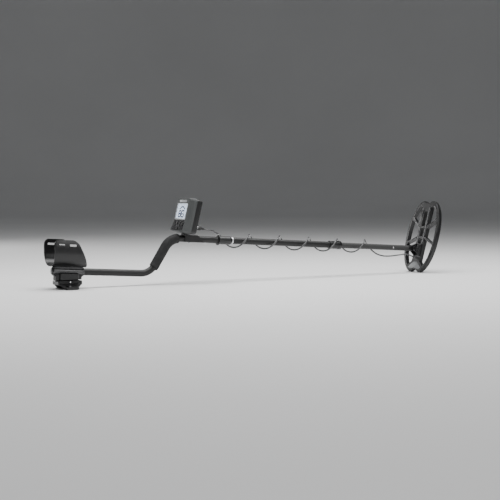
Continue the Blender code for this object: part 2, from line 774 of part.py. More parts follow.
def bring_out_keypad(form):
    """Crease the face below the window, so that its lower part widens and juts out for the keys."""
    parts = form.verts[:] + form.edges[:] + form.faces[:]
    bmesh.ops.bisect_plane(form, geom=parts, plane_co=(0.0, 0.0, KEYPAD_TOP), plane_no=(0.0, 0.0, 1.0))
    for vertex in form.verts:
        x, y, z = vertex.co
        share = max(0.0, 1.0 - z / KEYPAD_TOP) * max(0.0, 1.0 - x / CHAMFER_DEPTH)
        vertex.co.x -= KEYPAD_JUT * share
        vertex.co.y += math.copysign(KEYPAD_FLARE * share, y)


def pillar_places():
    return [(side * PILLAR_SIDE, height) for side in (-1.0, 1.0) for height in PILLAR_HEIGHTS]


def make_back_shell(box):
    wall = BOX_WALL
    start = BOX_SPLIT + GAP
    inner_corner = BOX_CORNER - wall
    rings = [
        box_ring(BOX_DEPTH, BACK_TAPER, BACK_TAPER, BOX_CORNER - 0.002),
        box_ring(BOX_DEPTH - 0.004, 0.0010, 0.0010),
        box_ring(start, 0.0, 0.0),
        box_ring(start, wall, wall, inner_corner),
        box_ring(BOX_DEPTH - 0.004, wall + 0.0010, wall + 0.0010, inner_corner),
        box_ring(BOX_DEPTH - wall, wall + BACK_TAPER, wall + BACK_TAPER, inner_corner),
    ]
    shell = piece("back_shell", skin(rings), "moulded black", box)
    hatch = rounded(
        (-DOOR_HALF_WIDTH + 0.004, DOOR_CENTRE - DOOR_HEIGHT / 2.0 + 0.004),
        (DOOR_HALF_WIDTH - 0.004, DOOR_CENTRE + DOOR_HEIGHT / 2.0 - 0.004),
        0.003,
        1,
    )
    cut(shell, tool("battery_hatch", prism(hatch, BOX_DEPTH - 2.0 * wall, BOX_DEPTH + 0.004, "X"), box))
    for label, side in (("right", -1.0), ("left", 1.0)):
        join(shell, tool("rail_" + label, door_rail(side), box))
    return shell


def door_rail(side):
    """A hooked rail that holds one edge of the battery door: its section, pushed up the box."""
    near = DOOR_HALF_WIDTH + FIT
    face = BOX_DEPTH + GAP + DOOR_THICKNESS + FIT
    outline = (
        (BOX_DEPTH - 0.001, side * near),
        (face, side * near),
        (face, side * (near - RAIL_LIP)),
        (face + 0.0015, side * (near - RAIL_LIP)),
        (face + 0.0015, side * (near + RAIL_WIDTH)),
        (BOX_DEPTH - 0.001, side * (near + RAIL_WIDTH)),
    )
    low = DOOR_CENTRE - DOOR_HEIGHT / 2.0
    high = DOOR_CENTRE + DOOR_HEIGHT / 2.0 + DOOR_TRAVEL_ROOM
    return prism(outline, low, high)


def make_battery_door(box):
    thick = DOOR_THICKNESS
    outline = rounded((-DOOR_HALF_WIDTH, -DOOR_HEIGHT / 2.0), (DOOR_HALF_WIDTH, DOOR_HEIGHT / 2.0), 0.002, 1)
    place = (BOX_DEPTH + GAP, 0.0, DOOR_CENTRE)
    door = piece("battery_door", prism(outline, 0.0, thick, "X"), "moulded black", box, place)
    ridge = block((thick - 0.001, -0.012, -0.028), (thick + 0.0015, 0.012, -0.025))
    join(door, tool("door_finger_ridge", ridge, box, place))


def display_front():
    return max(WINDOW_START + WINDOW_THICKNESS, BOX_WALL) + GAP


def display_back():
    return display_front() + PANEL_THICKNESS


def make_display(box):
    half = WINDOW_HALF_WIDTH - FIT
    tall = WINDOW_HEIGHT / 2.0 - FIT
    outline = rounded((-half, WINDOW_CENTRE - tall), (half, WINDOW_CENTRE + tall), 0.003 - FIT, 2)
    window = prism(outline, WINDOW_START, WINDOW_START + WINDOW_THICKNESS, "X")
    piece("display_window", window, "clear", box)
    margin = 0.0010
    low = (-half - margin, WINDOW_CENTRE - tall - margin)
    high = (half + margin, WINDOW_CENTRE + tall + margin)
    panel = prism(bevelled(low, high, 0.001), display_front(), display_back(), "X")
    piece("display_panel", panel, "display", box)


def make_board(box):
    low = (-BOARD_HALF_WIDTH, BOARD_MARGIN)
    outline = bevelled(low, (BOARD_HALF_WIDTH, BOX_HEIGHT - BOARD_MARGIN), 0.003)
    board = prism(outline, BOARD_X, BOARD_X + BOARD_THICKNESS, "X")
    piece("circuit_board", board, "board green", box)


def make_speaker(box):
    start = BOARD_X + BOARD_THICKNESS + GAP
    profile = (
        (start, SPEAKER_RADIUS * 0.5),
        (start + SPEAKER_DEPTH * 0.5, SPEAKER_RADIUS * 0.5),
        (start + SPEAKER_DEPTH * 0.7, SPEAKER_RADIUS),
        (start + SPEAKER_DEPTH, SPEAKER_RADIUS),
        (start + SPEAKER_DEPTH - 0.0015, SPEAKER_RADIUS * 0.6),
    )
    piece("speaker", turned(profile, 16), "moulded black", box, (0.0, 0.0, SPEAKER_HEIGHT))


def make_cells(box):
    """Four round cells lying across the box, one above the other, behind the battery door."""
    spacing = 2.0 * (CELL_RADIUS + FIT)
    depth = BOX_DEPTH - BOX_WALL - 2.0 * GAP - CELL_RADIUS
    half = CELL_LENGTH / 2.0
    profile = (
        (-half, CELL_RADIUS),
        (half - CELL_NUB, CELL_RADIUS),
        (half - CELL_NUB, CELL_NUB_RADIUS),
        (half, CELL_NUB_RADIUS),
    )
    for i in range(CELL_COUNT):
        height = CELL_STACK_CENTRE + (i - (CELL_COUNT - 1) / 2.0) * spacing
        turn = (0.0, 0.0, math.pi if i % 2 else 0.0)
        form = turned(profile, 12, axis="Y")
        piece("battery_%d" % (i + 1), form, "white nylon", box, (depth, 0.0, height), turn)


def key_plan():
    """Name, sideways place, height and tilt of the five keys."""
    plan = []
    for side, label in ((-1.0, "right"), (1.0, "left")):
        for (reach, tilt), rank in zip(KEY_FAN, ("outer", "inner")):
            drop = 0.0035 if rank == "outer" else 0.0
            plan.append(("key_%s_%s" % (rank, label), side * reach, KEY_ROW_HEIGHT - drop, side * tilt))
    plan.append(("key_power", 0.0, POWER_KEY_HEIGHT, 0.0))
    return plan


def key_outline(name, spare=0.0):
    if name == "key_power":
        return circle(POWER_KEY_RADIUS + spare, 12)
    half = (KEY_WIDTH / 2.0 + spare, KEY_LENGTH / 2.0 + spare)
    return rounded((-half[0], -half[1]), half, KEY_RADIUS, 2)


def make_keys(keypad, shell):
    for name, side, height, tilt in key_plan():
        place = (0.0, side, height - KEYPAD_TOP)
        turn = (math.radians(-tilt), 0.0, 0.0)
        top = [(-KEY_PROUD, y * 0.84, z * 0.88) for y, z in key_outline(name)]
        shoulder = [(-KEY_PROUD + 0.0007, y, z) for y, z in key_outline(name)]
        base = [(KEY_DEPTH, y, z) for y, z in key_outline(name)]
        piece(name, skin([top, shoulder, base]), "rubber", keypad, place, turn)
        hole = prism(key_outline(name, FIT), -0.006, 3.0 * BOX_WALL, "X")
        cut(shell, tool(name + "_hole", hole, keypad, place, turn))


def make_box_screws(box, back, face):
    for index, (side, height) in enumerate(pillar_places()):
        seat = BOX_DEPTH + GAP
        end = seat - BOX_SCREW_LENGTH
        profile = (
            (end, BOX_SCREW_RADIUS),
            (seat, BOX_SCREW_RADIUS),
            (seat, BOX_SCREW_HEAD),
            (seat + 0.0011, BOX_SCREW_HEAD),
            (seat + 0.0018, BOX_SCREW_HEAD - 0.0009),
        )
        place = (0.0, side, height)
        piece("box_screw_%d" % (index + 1), turned(profile, 10), "bright steel", box, place)
        hole = turned(((end - 0.001, BOX_SCREW_RADIUS + FIT), (seat + 0.002, BOX_SCREW_RADIUS + FIT)), 10)
        drill = tool("box_screw_hole_%d" % (index + 1), hole, box, place)
        cut(back, drill)
        cut(face, drill)


def make_socket_and_plug(box, back):
    """The cable's threaded socket in the box, the plug in it and the nut that holds the plug."""
    place = (BOX_DEPTH, SOCKET_SIDE, SOCKET_HEIGHT)
    profile = (
        (-SOCKET_INSIDE, SOCKET_RADIUS),
        (GAP, SOCKET_RADIUS),
        (GAP, SOCKET_FLANGE),
        (0.0022, SOCKET_FLANGE),
        (0.0026, SOCKET_RADIUS),
        (SOCKET_OUTSIDE, SOCKET_RADIUS),
    )
    piece("cable_socket", turned(profile, 16), "bright steel", box, place)
    hole = turned(((-SOCKET_INSIDE - 0.004, SOCKET_RADIUS + FIT), (0.004, SOCKET_RADIUS + FIT)), 16)
    cut(back, tool("socket_hole", hole, box, place))
    start = SOCKET_OUTSIDE + GAP
    end = start + PLUG_LENGTH
    body = (
        (start, PLUG_RADIUS),
        (start + NUT_LENGTH + 0.002, PLUG_RADIUS),
        (start + NUT_LENGTH + 0.004, PLUG_RADIUS - 0.0008),
        (end, CABLE_RADIUS + 0.0006),
    )
    piece("plug_body", turned(body, 14), "rubber", box, place)
    low = start + GAP
    nut = (
        (low, NUT_RADIUS),
        (low + NUT_LENGTH - 0.001, NUT_RADIUS),
        (low + NUT_LENGTH, NUT_RADIUS - 0.001),
        (low + NUT_LENGTH, PLUG_RADIUS + FIT),
        (low, PLUG_RADIUS + FIT),
    )
    piece("plug_nut", turned(nut, 16, closed=True), "moulded black", box, place)


def plug_exit():
    """Where the cable leaves the plug, in the shaft's frame."""
    depth = BOX_DEPTH + SOCKET_OUTSIDE + GAP + PLUG_LENGTH + GAP
    x = BOX_X + depth * math.cos(BOX_LEAN) + SOCKET_HEIGHT * math.sin(BOX_LEAN)
    z = BOX_Z - depth * math.sin(BOX_LEAN) + SOCKET_HEIGHT * math.cos(BOX_LEAN)
    return Vector((x, SOCKET_SIDE, z))


def box_floor(x):
    """Height of the box's underside over the shaft's axis."""
    return BOX_Z - (x - BOX_X) * math.tan(BOX_LEAN)


def make_bracket(shaft, stem):
    """The block that saddles the stem and carries the box."""
    end = BOX_X + BOX_DEPTH * math.cos(BOX_LEAN)
    shelf = box_floor(end) - 2.0 * GAP
    outline = (
        (BRACKET_REAR, BRACKET_BOTTOM),
        (BRACKET_REAR, box_floor(BRACKET_REAR) - 2.0 * GAP),
        (end, shelf),
        (BRACKET_STEP, shelf),
        (BRACKET_FRONT, -0.002),
        (BRACKET_FRONT, BRACKET_BOTTOM),
    )
    body = prism(outline, -BRACKET_HALF_WIDTH, BRACKET_HALF_WIDTH, "Y")
    bracket = piece("box_bracket", body, "moulded black", shaft)
    bore = turned(((BRACKET_REAR - 0.01, TUBE_RADIUS + GAP), (BRACKET_FRONT + 0.01, TUBE_RADIUS + GAP)))
    cut(bracket, tool("bracket_bore", bore, shaft))
    top = box_floor(BRACKET_SCREW_X) - 4.0 * GAP
    head = -TUBE_RADIUS - GAP
    profile = (
        (head - 0.0030, BRACKET_SCREW_HEAD - 0.0012),
        (head - 0.0022, BRACKET_SCREW_HEAD),
        (head, BRACKET_SCREW_HEAD),
        (head, BRACKET_SCREW_RADIUS),
        (top - 0.001, BRACKET_SCREW_RADIUS),
    )
    place = (BRACKET_SCREW_X, 0.0, 0.0)
    piece("bracket_screw", turned(profile, 12, axis="Z"), "bright steel", shaft, place)
    spare = BRACKET_SCREW_RADIUS + BOLT_FIT
    drill = tool("bracket_screw_hole", turned(((-0.02, spare), (top - 0.0005, spare)), 12, axis="Z"), shaft, place)
    cut(bracket, drill)
    cut(stem, drill)


# ================================================================ telescoping shaft
def collar_ring(x, radius):
    """A ring of the lock collar, with shallow grip ribs."""
    count = 2 * COLLAR_RIBS
    return [
        (x, y, z)
        for i, (y, z) in enumerate(circle(1.0, count))
        for y, z in ((y * (radius - COLLAR_RIB * (i % 2)), z * (radius - COLLAR_RIB * (i % 2))),)
    ]


def plain_ring(x, radius):
    return [(x, y, z) for y, z in circle(radius, 2 * COLLAR_RIBS)]


def make_collar(name, shaft, x, ends, bore_rear, bore_front):
    """A lock collar that turns on its bush, from the rim at its rear to the band at its front."""
    inner = COLLAR_RADIUS - COLLAR_WALL
    end = COLLAR_LENGTH
    rim, band = ends
    rings = [
        plain_ring(0.0, rim - 0.0006),
        plain_ring(0.0006, rim),
        plain_ring(COLLAR_RIM_WIDTH, rim),
        collar_ring(COLLAR_RIM_WIDTH + 0.0008, COLLAR_RADIUS),
        collar_ring(end - COLLAR_BAND_WIDTH - 0.0010, COLLAR_RADIUS),
        plain_ring(end - COLLAR_BAND_WIDTH, band),
        plain_ring(end - 0.0010, band),
        plain_ring(end, band - 0.0008),
        plain_ring(end, bore_front + FIT),
        plain_ring(end - COLLAR_LIP, bore_front + FIT),
        plain_ring(end - COLLAR_LIP, inner),
        plain_ring(COLLAR_LIP, inner),
        plain_ring(COLLAR_LIP, bore_rear + FIT),
        plain_ring(0.0, bore_rear + FIT),
    ]
    piece(name, skin(rings, closed=True), "moulded black", shaft, (x, 0.0, 0.0))


def make_bush(name, shaft, x, step, bore_rear, bore_front):
    """A split-cone bush under a lock collar. step is where its bore changes."""
    outer = COLLAR_RADIUS - COLLAR_WALL - FIT
    low = COLLAR_LIP + GAP
    high = COLLAR_LENGTH - COLLAR_LIP - GAP
    profile = (
        (low, outer - 0.0004),
        (low + 0.004, outer),
        (high - 0.004, outer),
        (high, outer - 0.0004),
        (high, bore_front + GAP),
        (step, bore_front + GAP),
        (step, bore_rear + GAP),
        (low, bore_rear + GAP),
    )
    piece(name, turned(profile, SIDES, closed=True), "white nylon", shaft, (x, 0.0, 0.0))


def make_middle_tube(shaft):
    spigot = STEM_BORE - FIT
    shoulder = STEM_FRONT + GAP
    profile = (
        (SPIGOT_REAR, spigot),
        (shoulder, spigot),
        (shoulder, TUBE_RADIUS),
        (MIDDLE_FRONT, TUBE_RADIUS),
        (MIDDLE_FRONT, TUBE_RADIUS - MIDDLE_WALL),
        (shoulder + 0.006, TUBE_RADIUS - MIDDLE_WALL),
        (shoulder + 0.002, spigot - SPIGOT_WALL),
        (SPIGOT_REAR, spigot - SPIGOT_WALL),
    )
    return piece("middle_tube", turned(profile, SIDES, closed=True), "satin black tube", shaft)


def make_lower_rod(shaft):
    front = PIVOT_X - ROD_FRONT
    return piece("lower_rod", pipe(ROD_REAR, front, ROD_RADIUS, ROD_RADIUS - ROD_WALL), "rod grey", shaft)


def drill_button_hole(name, shaft, x, *targets):
    radius = BUTTON_RADIUS + FIT
    form = turned(((-TUBE_RADIUS - 0.004, radius), (-0.004, radius)), 12, axis="Z")
    hole = tool(name, form, shaft, (x, 0.0, 0.0))
    for target in targets:
        cut(target, hole)


def make_button(name, shaft, x, bore):
    """A snap button and the leaf spring behind it, in a tube of that bore."""
    foot = -bore + LEAF_THICKNESS + 2.0 * GAP
    tip = -TUBE_RADIUS - BUTTON_PROUD
    profile = (
        (tip, BUTTON_RADIUS - 0.0012),
        (tip + 0.0010, BUTTON_RADIUS),
        (foot, BUTTON_RADIUS),
    )
    place = (x, 0.0, 0.0)
    piece(name, turned(profile, 12, axis="Z"), "bright steel", shaft, place)
    low = foot + GAP
    high = bore * 0.62
    thick = LEAF_THICKNESS
    outline = (
        (BUTTON_RADIUS + 0.002, low),
        (BUTTON_RADIUS + 0.002, low + thick),
        (-BUTTON_RADIUS, low + thick),
        (thick * 2.0 - LEAF_LENGTH, high * 0.5),
        (-BUTTON_RADIUS, high),
        (-BUTTON_RADIUS, high + thick),
        (-LEAF_LENGTH, high * 0.5 + thick),
        (-LEAF_LENGTH, high * 0.5 - thick),
        (-BUTTON_RADIUS - 0.001, low),
    )
    leaf = prism(outline, -LEAF_HALF_WIDTH, LEAF_HALF_WIDTH, "Y")
    piece(name.replace("snap_button", "button_spring"), leaf, "bright steel", shaft, place)


def make_shafts(shaft, stem):
    middle = make_middle_tube(shaft)
    rod = make_lower_rod(shaft)
    spigot_bore = STEM_BORE - FIT - SPIGOT_WALL
    drill_button_hole("upper_button_hole", shaft, UPPER_BUTTON_X, stem, middle)
    for i in range(HOLE_COUNT):
        targets = (middle, rod) if i == 0 else (middle,)
        drill_button_hole("length_hole_%d" % (i + 1), shaft, LOWER_BUTTON_X - i * HOLE_SPACING, *targets)
    make_button("upper_snap_button", shaft, UPPER_BUTTON_X, spigot_bore)
    make_button("lower_snap_button", shaft, LOWER_BUTTON_X, ROD_RADIUS - ROD_WALL)
    make_collar("upper_lock_collar", shaft, UPPER_COLLAR_X, UPPER_COLLAR_ENDS, TUBE_RADIUS, TUBE_RADIUS)
    step = STEM_FRONT - UPPER_COLLAR_X
    make_bush("upper_lock_bush", shaft, UPPER_COLLAR_X, step, TUBE_RADIUS, TUBE_RADIUS + FIT)
    make_collar("lower_lock_collar", shaft, LOWER_COLLAR_X, LOWER_COLLAR_ENDS, TUBE_RADIUS, ROD_RADIUS)
    step = MIDDLE_FRONT - LOWER_COLLAR_X + GAP
    make_bush("lower_lock_bush", shaft, LOWER_COLLAR_X, step, TUBE_RADIUS, ROD_RADIUS + FIT)
    ring = pipe(0.0, STOP_RING_WIDTH, STOP_RING_RADIUS, TUBE_RADIUS + GAP)
    piece("tube_stop_ring", ring, "bright steel", shaft, (STOP_RING_X, 0.0, 0.0))
    return rod


# ================================================================ rod end and coil pivot
def make_rod_end(shaft, rod):
    """The moulded end of the rod: a plug glued in the rod and a flat tongue round the pivot."""
    plug = ROD_RADIUS - ROD_WALL - FIT
    profile = (
        (-ROD_PLUG - 0.020, plug - 0.001),
        (-ROD_PLUG - 0.018, plug),
        (-ROD_FRONT + GAP, plug),
        (-ROD_FRONT + GAP, ROD_RADIUS),
        (-ROD_FRONT + 0.005, ROD_RADIUS),
        (-ROD_FRONT + 0.008, TONGUE_HALF_WIDTH),
    )
    place = (PIVOT_X, 0.0, 0.0)
    end = piece("rod_end", turned(profile), "moulded black", shaft, place)
    tongue = [(-ROD_FRONT + 0.003, -TONGUE_HALF_WIDTH * 0.75), (-ROD_FRONT + 0.003, TONGUE_HALF_WIDTH * 0.75)]
    for i in range(11):
        angle = math.radians(100.0 - 20.0 * i)
        tongue.append((TONGUE_RADIUS * math.cos(angle), TONGUE_RADIUS * math.sin(angle)))
    form = prism(tongue, -TONGUE_HALF_WIDTH, TONGUE_HALF_WIDTH, "Y")
    join(end, tool("tongue", form, shaft, place))
    radius = PIVOT_BOLT_RADIUS + BOLT_FIT
    hole = turned(((-0.02, radius), (0.02, radius)), 16, axis="Y")
    cut(end, tool("tongue_hole", hole, shaft, place))
    seat = ROD_RADIUS + GAP
    rivet = (
        (-seat - 0.0012, RIVET_HEAD - 0.0008),
        (-seat - 0.0005, RIVET_HEAD),
        (-seat, RIVET_HEAD),
        (-seat, RIVET_RADIUS),
        (seat - 0.002, RIVET_RADIUS),
    )
    place = (PIVOT_X - RIVET_BACK, 0.0, 0.0)
    piece("rod_end_rivet", turned(rivet, 10, axis="Y"), "bright steel", shaft, place)
    spare = RIVET_RADIUS + FIT
    drill = tool("rivet_hole", turned(((-0.015, spare), (seat - 0.0015, spare)), 10, axis="Y"), shaft, place)
    cut(rod, drill)
    cut(end, drill)


def make_pivot(coil):
    """Washers, bolt and thumb nut on the pivot, whose axis is the coil frame's Y axis."""
    bore = PIVOT_BOLT_RADIUS + BOLT_FIT
    low = TONGUE_HALF_WIDTH + GAP
    high = low + WASHER_THICKNESS
    for label, ends in (("left", (low, high)), ("right", (-high, -low))):
        washer = pipe(ends[0], ends[1], WASHER_RADIUS, bore, 16, "Y")
        piece("friction_washer_" + label, washer, "rubber", coil)
    outside = ear_inner() + EAR_THICKNESS + GAP
    bolt = (
        (-outside - KNOB_DEPTH - BOLT_SPARE, PIVOT_BOLT_RADIUS - 0.0005),
        (-outside - KNOB_DEPTH, PIVOT_BOLT_RADIUS),
        (outside, PIVOT_BOLT_RADIUS),
        (outside, PIVOT_HEAD_RADIUS),
        (outside + PIVOT_HEAD_DEPTH - 0.001, PIVOT_HEAD_RADIUS),
        (outside + PIVOT_HEAD_DEPTH, PIVOT_HEAD_RADIUS - 0.0012),
    )
    piece("pivot_bolt", turned(bolt, 12, axis="Y"), "moulded black", coil)
    near = -outside
    profile = ((near - KNOB_DEPTH, KNOB_RADIUS - 0.001), (near - KNOB_DEPTH + 0.001, KNOB_RADIUS), (near, KNOB_RADIUS))
    knob = piece("pivot_knob", turned(profile, 16, axis="Y"), "moulded black", coil)
    wing = rounded((-KNOB_WING, -KNOB_WING_WIDTH / 2.0), (KNOB_WING, KNOB_WING_WIDTH / 2.0), 0.0018, 2)
    wings = prism(wing, near - KNOB_DEPTH + 0.0005, near - 0.0025, "Y")
    join(knob, tool("knob_wings", wings, coil))
    radius = PIVOT_BOLT_RADIUS + FIT
    hole = turned(((near - KNOB_DEPTH - 0.01, radius), (near + 0.01, radius)), 16, axis="Y")
    cut(knob, tool("knob_bore", hole, coil))


def ear_inner():
    return TONGUE_HALF_WIDTH + WASHER_THICKNESS + 2.0 * GAP


# ================================================================ search coil
COIL_MIDDLE = COIL_LENGTH / 2.0 - PIVOT_FROM_HEEL
COIL_TOP = -PIVOT_HEIGHT
COIL_BOTTOM = COIL_TOP - COIL_DEPTH


def coil_point(angle, inset=0.0):
    """The coil's outline, from the toe round the left side: a full oval with a notch at each end."""
    power = 2.0 / COIL_FULLNESS
    along = math.copysign(abs(math.cos(angle)) ** power, math.cos(angle))
    aside = math.copysign(abs(math.sin(angle)) ** power, math.sin(angle))
    x = (COIL_LENGTH / 2.0 - inset) * along
    y = (COIL_WIDTH / 2.0 - inset) * aside
    notch = NOTCH_DEPTH * math.exp(-((y / NOTCH_WIDTH) ** 2))
    return COIL_MIDDLE + x - math.copysign(notch, along), y


def coil_outline(inset=0.0, count=52):
    return [coil_point(math.tau * (i + 0.5) / count, inset) for i in range(count)]


def rim_angle(x):
    """The outline's angle at which its left side reaches the place x along the coil."""
    share = (x - COIL_MIDDLE) / (COIL_LENGTH / 2.0)
    share = max(-0.999, min(0.999, share))
    return math.acos(math.copysign(abs(share) ** (COIL_FULLNESS / 2.0), share))


def rim_run(toe, heel, steps):
    """Points of the rim's inner edge on the left side, from toe to heel."""
    start, end = rim_angle(toe), rim_angle(heel)
    return [coil_point(start + (end - start) * i / steps, RIM_WIDTH) for i in range(steps + 1)]


def side_windows():
    """The three windows of the coil's left side, each an outline of along and aside."""
    half = STRUT_HALF_WIDTH
    toe_bar, toe_rim = TOE_STRUT
    heel_bar, heel_rim = HEEL_STRUT
    toe = [(toe_bar + half + 0.001, BAR_OUTER), (TOE_WINDOW_END, BAR_OUTER)]
    middle = [(heel_bar + half, BAR_OUTER), (toe_bar - half, BAR_OUTER)]
    heel = [(WEB_APEX, BAR_OUTER), (heel_bar - half, BAR_OUTER)]
    return (
        ("toe", toe + rim_run(TOE_LOBE, toe_rim + half, 6)),
        ("middle", middle + rim_run(toe_rim - half, heel_rim + half, 6)),
        ("heel", heel + rim_run(heel_rim - half, WEB_CORNER, 6)),
    )


def coil_openings():
    """Every opening of the coil: the windows of both sides and the slots between the two bars."""
    openings = []
    for name, outline in side_windows():
        openings.append((name + "_window_left", outline))
        openings.append((name + "_window_right", [(x, -y) for x, y in reversed(outline)]))
    half = STRUT_HALF_WIDTH
    spans = (
        ("toe_slot", TOE_STRUT[0] + half, SLOT_TOE),
        ("middle_slot", HEEL_STRUT[0] + half, TOE_STRUT[0] - half),
        ("heel_slot", SLOT_HEEL, HEEL_STRUT[0] - half),
    )
    for name, low, high in spans:
        openings.append((name, rounded((low, -BAR_INNER), (high, BAR_INNER), 0.004, 2)))
    return openings


def label_pad():
    """The flat strip that widens the left bar towards the toe."""
    return [
        (LABEL_START, BAR_OUTER - 0.002),
        (LABEL_END, BAR_OUTER - 0.002),
        (LABEL_END, LABEL_OUTER),
        (LABEL_START, LABEL_OUTER),
    ]


def ear_outline():
    """Side view of an ear: a foot on the coil that narrows to a round top about the pivot."""
    outline = [(-EAR_FOOT, COIL_TOP - 0.001), (EAR_FOOT, COIL_TOP - 0.001)]
    for i in range(11):
        angle = math.radians(-10.0 + 20.0 * i)
        outline.append((EAR_RADIUS * math.cos(angle), EAR_RADIUS * math.sin(angle)))
    return outline


def make_coil_housing(coil):
    """The coil's upper moulding: a shell open underneath, pierced by its windows."""
    edge = COIL_EDGE
    rings = [
        [(x, y, COIL_BOTTOM) for x, y in coil_outline()],
        [(x, y, COIL_TOP - edge) for x, y in coil_outline()],
        [(x, y, COIL_TOP - edge * 0.3) for x, y in coil_outline(edge * 0.3)],
        [(x, y, COIL_TOP) for x, y in coil_outline(edge)],
    ]
    housing = piece("coil_housing", skin(rings), "moulded black", coil)
    cavity = prism(coil_outline(COIL_SIDE_WALL), COIL_BOTTOM - 0.005, COIL_TOP - COIL_ROOF)
    hollow = tool("coil_hollow", cavity, coil)
    for name, outline in coil_openings():
        wall = prism(widened(outline, COIL_SIDE_WALL), COIL_BOTTOM - 0.010, COIL_TOP + 0.005)
        cut(hollow, tool(name + "_wall", wall, coil))
    cut(housing, hollow)
    for name, outline in coil_openings():
        cut(housing, tool(name, prism(outline, COIL_BOTTOM - 0.010, COIL_TOP + 0.005), coil))
    pad = prism(label_pad(), COIL_TOP - COIL_ROOF, COIL_TOP)
    join(housing, tool("label_pad", pad, coil))
    for label, side in (("left", 1.0), ("right", -1.0)):
        ends = sorted((side * ear_inner(), side * (ear_inner() + EAR_THICKNESS)))
        join(housing, tool("ear_" + label, prism(ear_outline(), ends[0], ends[1], "Y"), coil))
    radius = PIVOT_BOLT_RADIUS + BOLT_FIT
    hole = turned(((-0.03, radius), (0.03, radius)), 16, axis="Y")
    cut(housing, tool("ear_holes", hole, coil))
    return housing


def make_coil_cover(coil):
    """The skid plate under the coil."""
    top = COIL_BOTTOM - GAP
    bottom = top - COVER_THICKNESS
    rings = [
        [(x, y, top) for x, y in coil_outline()],
        [(x, y, bottom + 0.0012) for x, y in coil_outline()],
        [(x, y, bottom) for x, y in coil_outline(0.0012)],
    ]
    cover = piece("coil_cover", skin(rings), "moulded black", coil)
    for name, outline in coil_openings():
        cut(cover, tool(name + "_below", prism(outline, bottom - 0.004, top + 0.004), coil))


def winding_path(side):
    """One D-shaped winding: round the rim on one side and back along the other side's bar."""
    bar = -side * (BAR_INNER + BAR_OUTER) / 2.0
    start, end = math.radians(13.0), math.radians(167.0)
    steps = 20
    path = []
    for i in range(steps + 1):
        x, y = coil_point(start + (end - start) * i / steps, WINDING_CLEAR)
        path.append(Vector((x, side * y)))
    for i in range(7):
        share = i / 6.0
        low, high = WEB_APEX - 0.012, TOE_WINDOW_END + 0.001
        path.append(Vector((low + (high - low) * share, bar)))
    return path


def make_winding(name, side, level, coil):
    path = winding_path(side)
    rings = []
    for i, point in enumerate(path):
        along = (path[(i + 1) % len(path)] - path[i - 1]).normalized()
        aside = Vector((-along.y, along.x))
        ring = []
        for a, b in circle(WINDING_RADIUS, 6):
            spot = point + aside * a
            ring.append((spot.x, spot.y, level + b))
        rings.append(ring)
    piece(name, skin(rings, closed=True), "copper", coil)


def make_gland(coil):
    """The moulded strain relief where the cable enters the coil."""
    profile = (
        (GAP, GLAND_RADIUS),
        (0.0040, GLAND_RADIUS),
        (0.0055, GLAND_RADIUS - 0.0012),
        (0.0085, GLAND_RADIUS - 0.0008),
        (0.0110, GLAND_RADIUS - 0.0022),
        (GLAND_LENGTH, CABLE_RADIUS + 0.0008),
    )
    place = (GLAND_PLACE[0], GLAND_PLACE[1], COIL_TOP)
    piece("coil_gland", turned(profile, 14, axis="Z"), "rubber", coil, place)


def from_coil(along, height):
    """A point of the coil's middle plane in the shaft's frame: along X and up Z."""
    x = PIVOT_X + along * math.cos(COIL_RAISE) - height * math.sin(COIL_RAISE)
    z = along * math.sin(COIL_RAISE) + height * math.cos(COIL_RAISE)
    return x, z


# ================================================================ cable
def helix_point(x):
    """A point of the cable where it winds round the shaft, over each crest from near to far side."""
    dip = 0.0
    for collar in (UPPER_COLLAR_X, LOWER_COLLAR_X):
        middle = collar + COLLAR_LENGTH / 2.0
        dip += COLLAR_DIP * math.exp(-(((x - middle) / COLLAR_DIP_REACH) ** 2))
    angle = math.tau * (x - HELIX_START) / HELIX_PITCH
    radius = HELIX_RADIUS - dip
    return Vector((x, radius * math.sin(angle), radius * math.cos(angle)))


def cable_route():
    """The cable's own points, from the plug to the coil's gland, in the shaft's frame."""
    start = plug_exit()
    route = [start, start + Vector((math.cos(BOX_LEAN), 0.0, -math.sin(BOX_LEAN))) * 0.014]
    route += [Vector(point) for point in LEAD_ROUTE]
    steps = HELIX_TURNS * HELIX_STEPS
    route += [helix_point(HELIX_START + HELIX_PITCH * i / HELIX_STEPS) for i in range(steps + 1)]
    route += [Vector(point) for point in TAIL_ROUTE]
    for height in (GLAND_LENGTH + 0.016, GLAND_LENGTH + GAP):
        x, z = from_coil(GLAND_PLACE[0], COIL_TOP + height)
        route.append(Vector((x, GLAND_PLACE[1], z)))
    return route


def smooth_curve(route, steps=6):
    """Points of a smooth curve through the route."""
    curve = []
    for i in range(len(route) - 1):
        a = route[max(i - 1, 0)]
        b, c = route[i], route[i + 1]
        d = route[min(i + 2, len(route) - 1)]
        for j in range(steps):
            t = j / steps
            curve.append(
                b
                + (c - a) * (0.5 * t)
                + (a - b * 2.5 + c * 2.0 - d * 0.5) * t**2
                + (b * 1.5 - a * 0.5 - c * 1.5 + d * 0.5) * t**3
            )
    return curve + [route[-1]]


def evenly(curve, start, end, count):
    """Points at even distances along a curve, between two lengths measured from its start.

    Both ends get one more point close by, so that the end faces stand square to the curve.
    """
    lengths = [0.0]
    for one, two in zip(curve, curve[1:]):
        lengths.append(lengths[-1] + (two - one).length)
    stops = [start + (end - start) * i / (count - 1) for i in range(count)]
    stops[1:1] = [start + END_STUB]
    stops[-1:-1] = [end - END_STUB]
    points, k = [], 0
    for wanted in stops:
        while k < len(lengths) - 2 and lengths[k + 1] < wanted:
            k += 1
        share = (wanted - lengths[k]) / (lengths[k + 1] - lengths[k])
        points.append(curve[k].lerp(curve[k + 1], share))
    return points


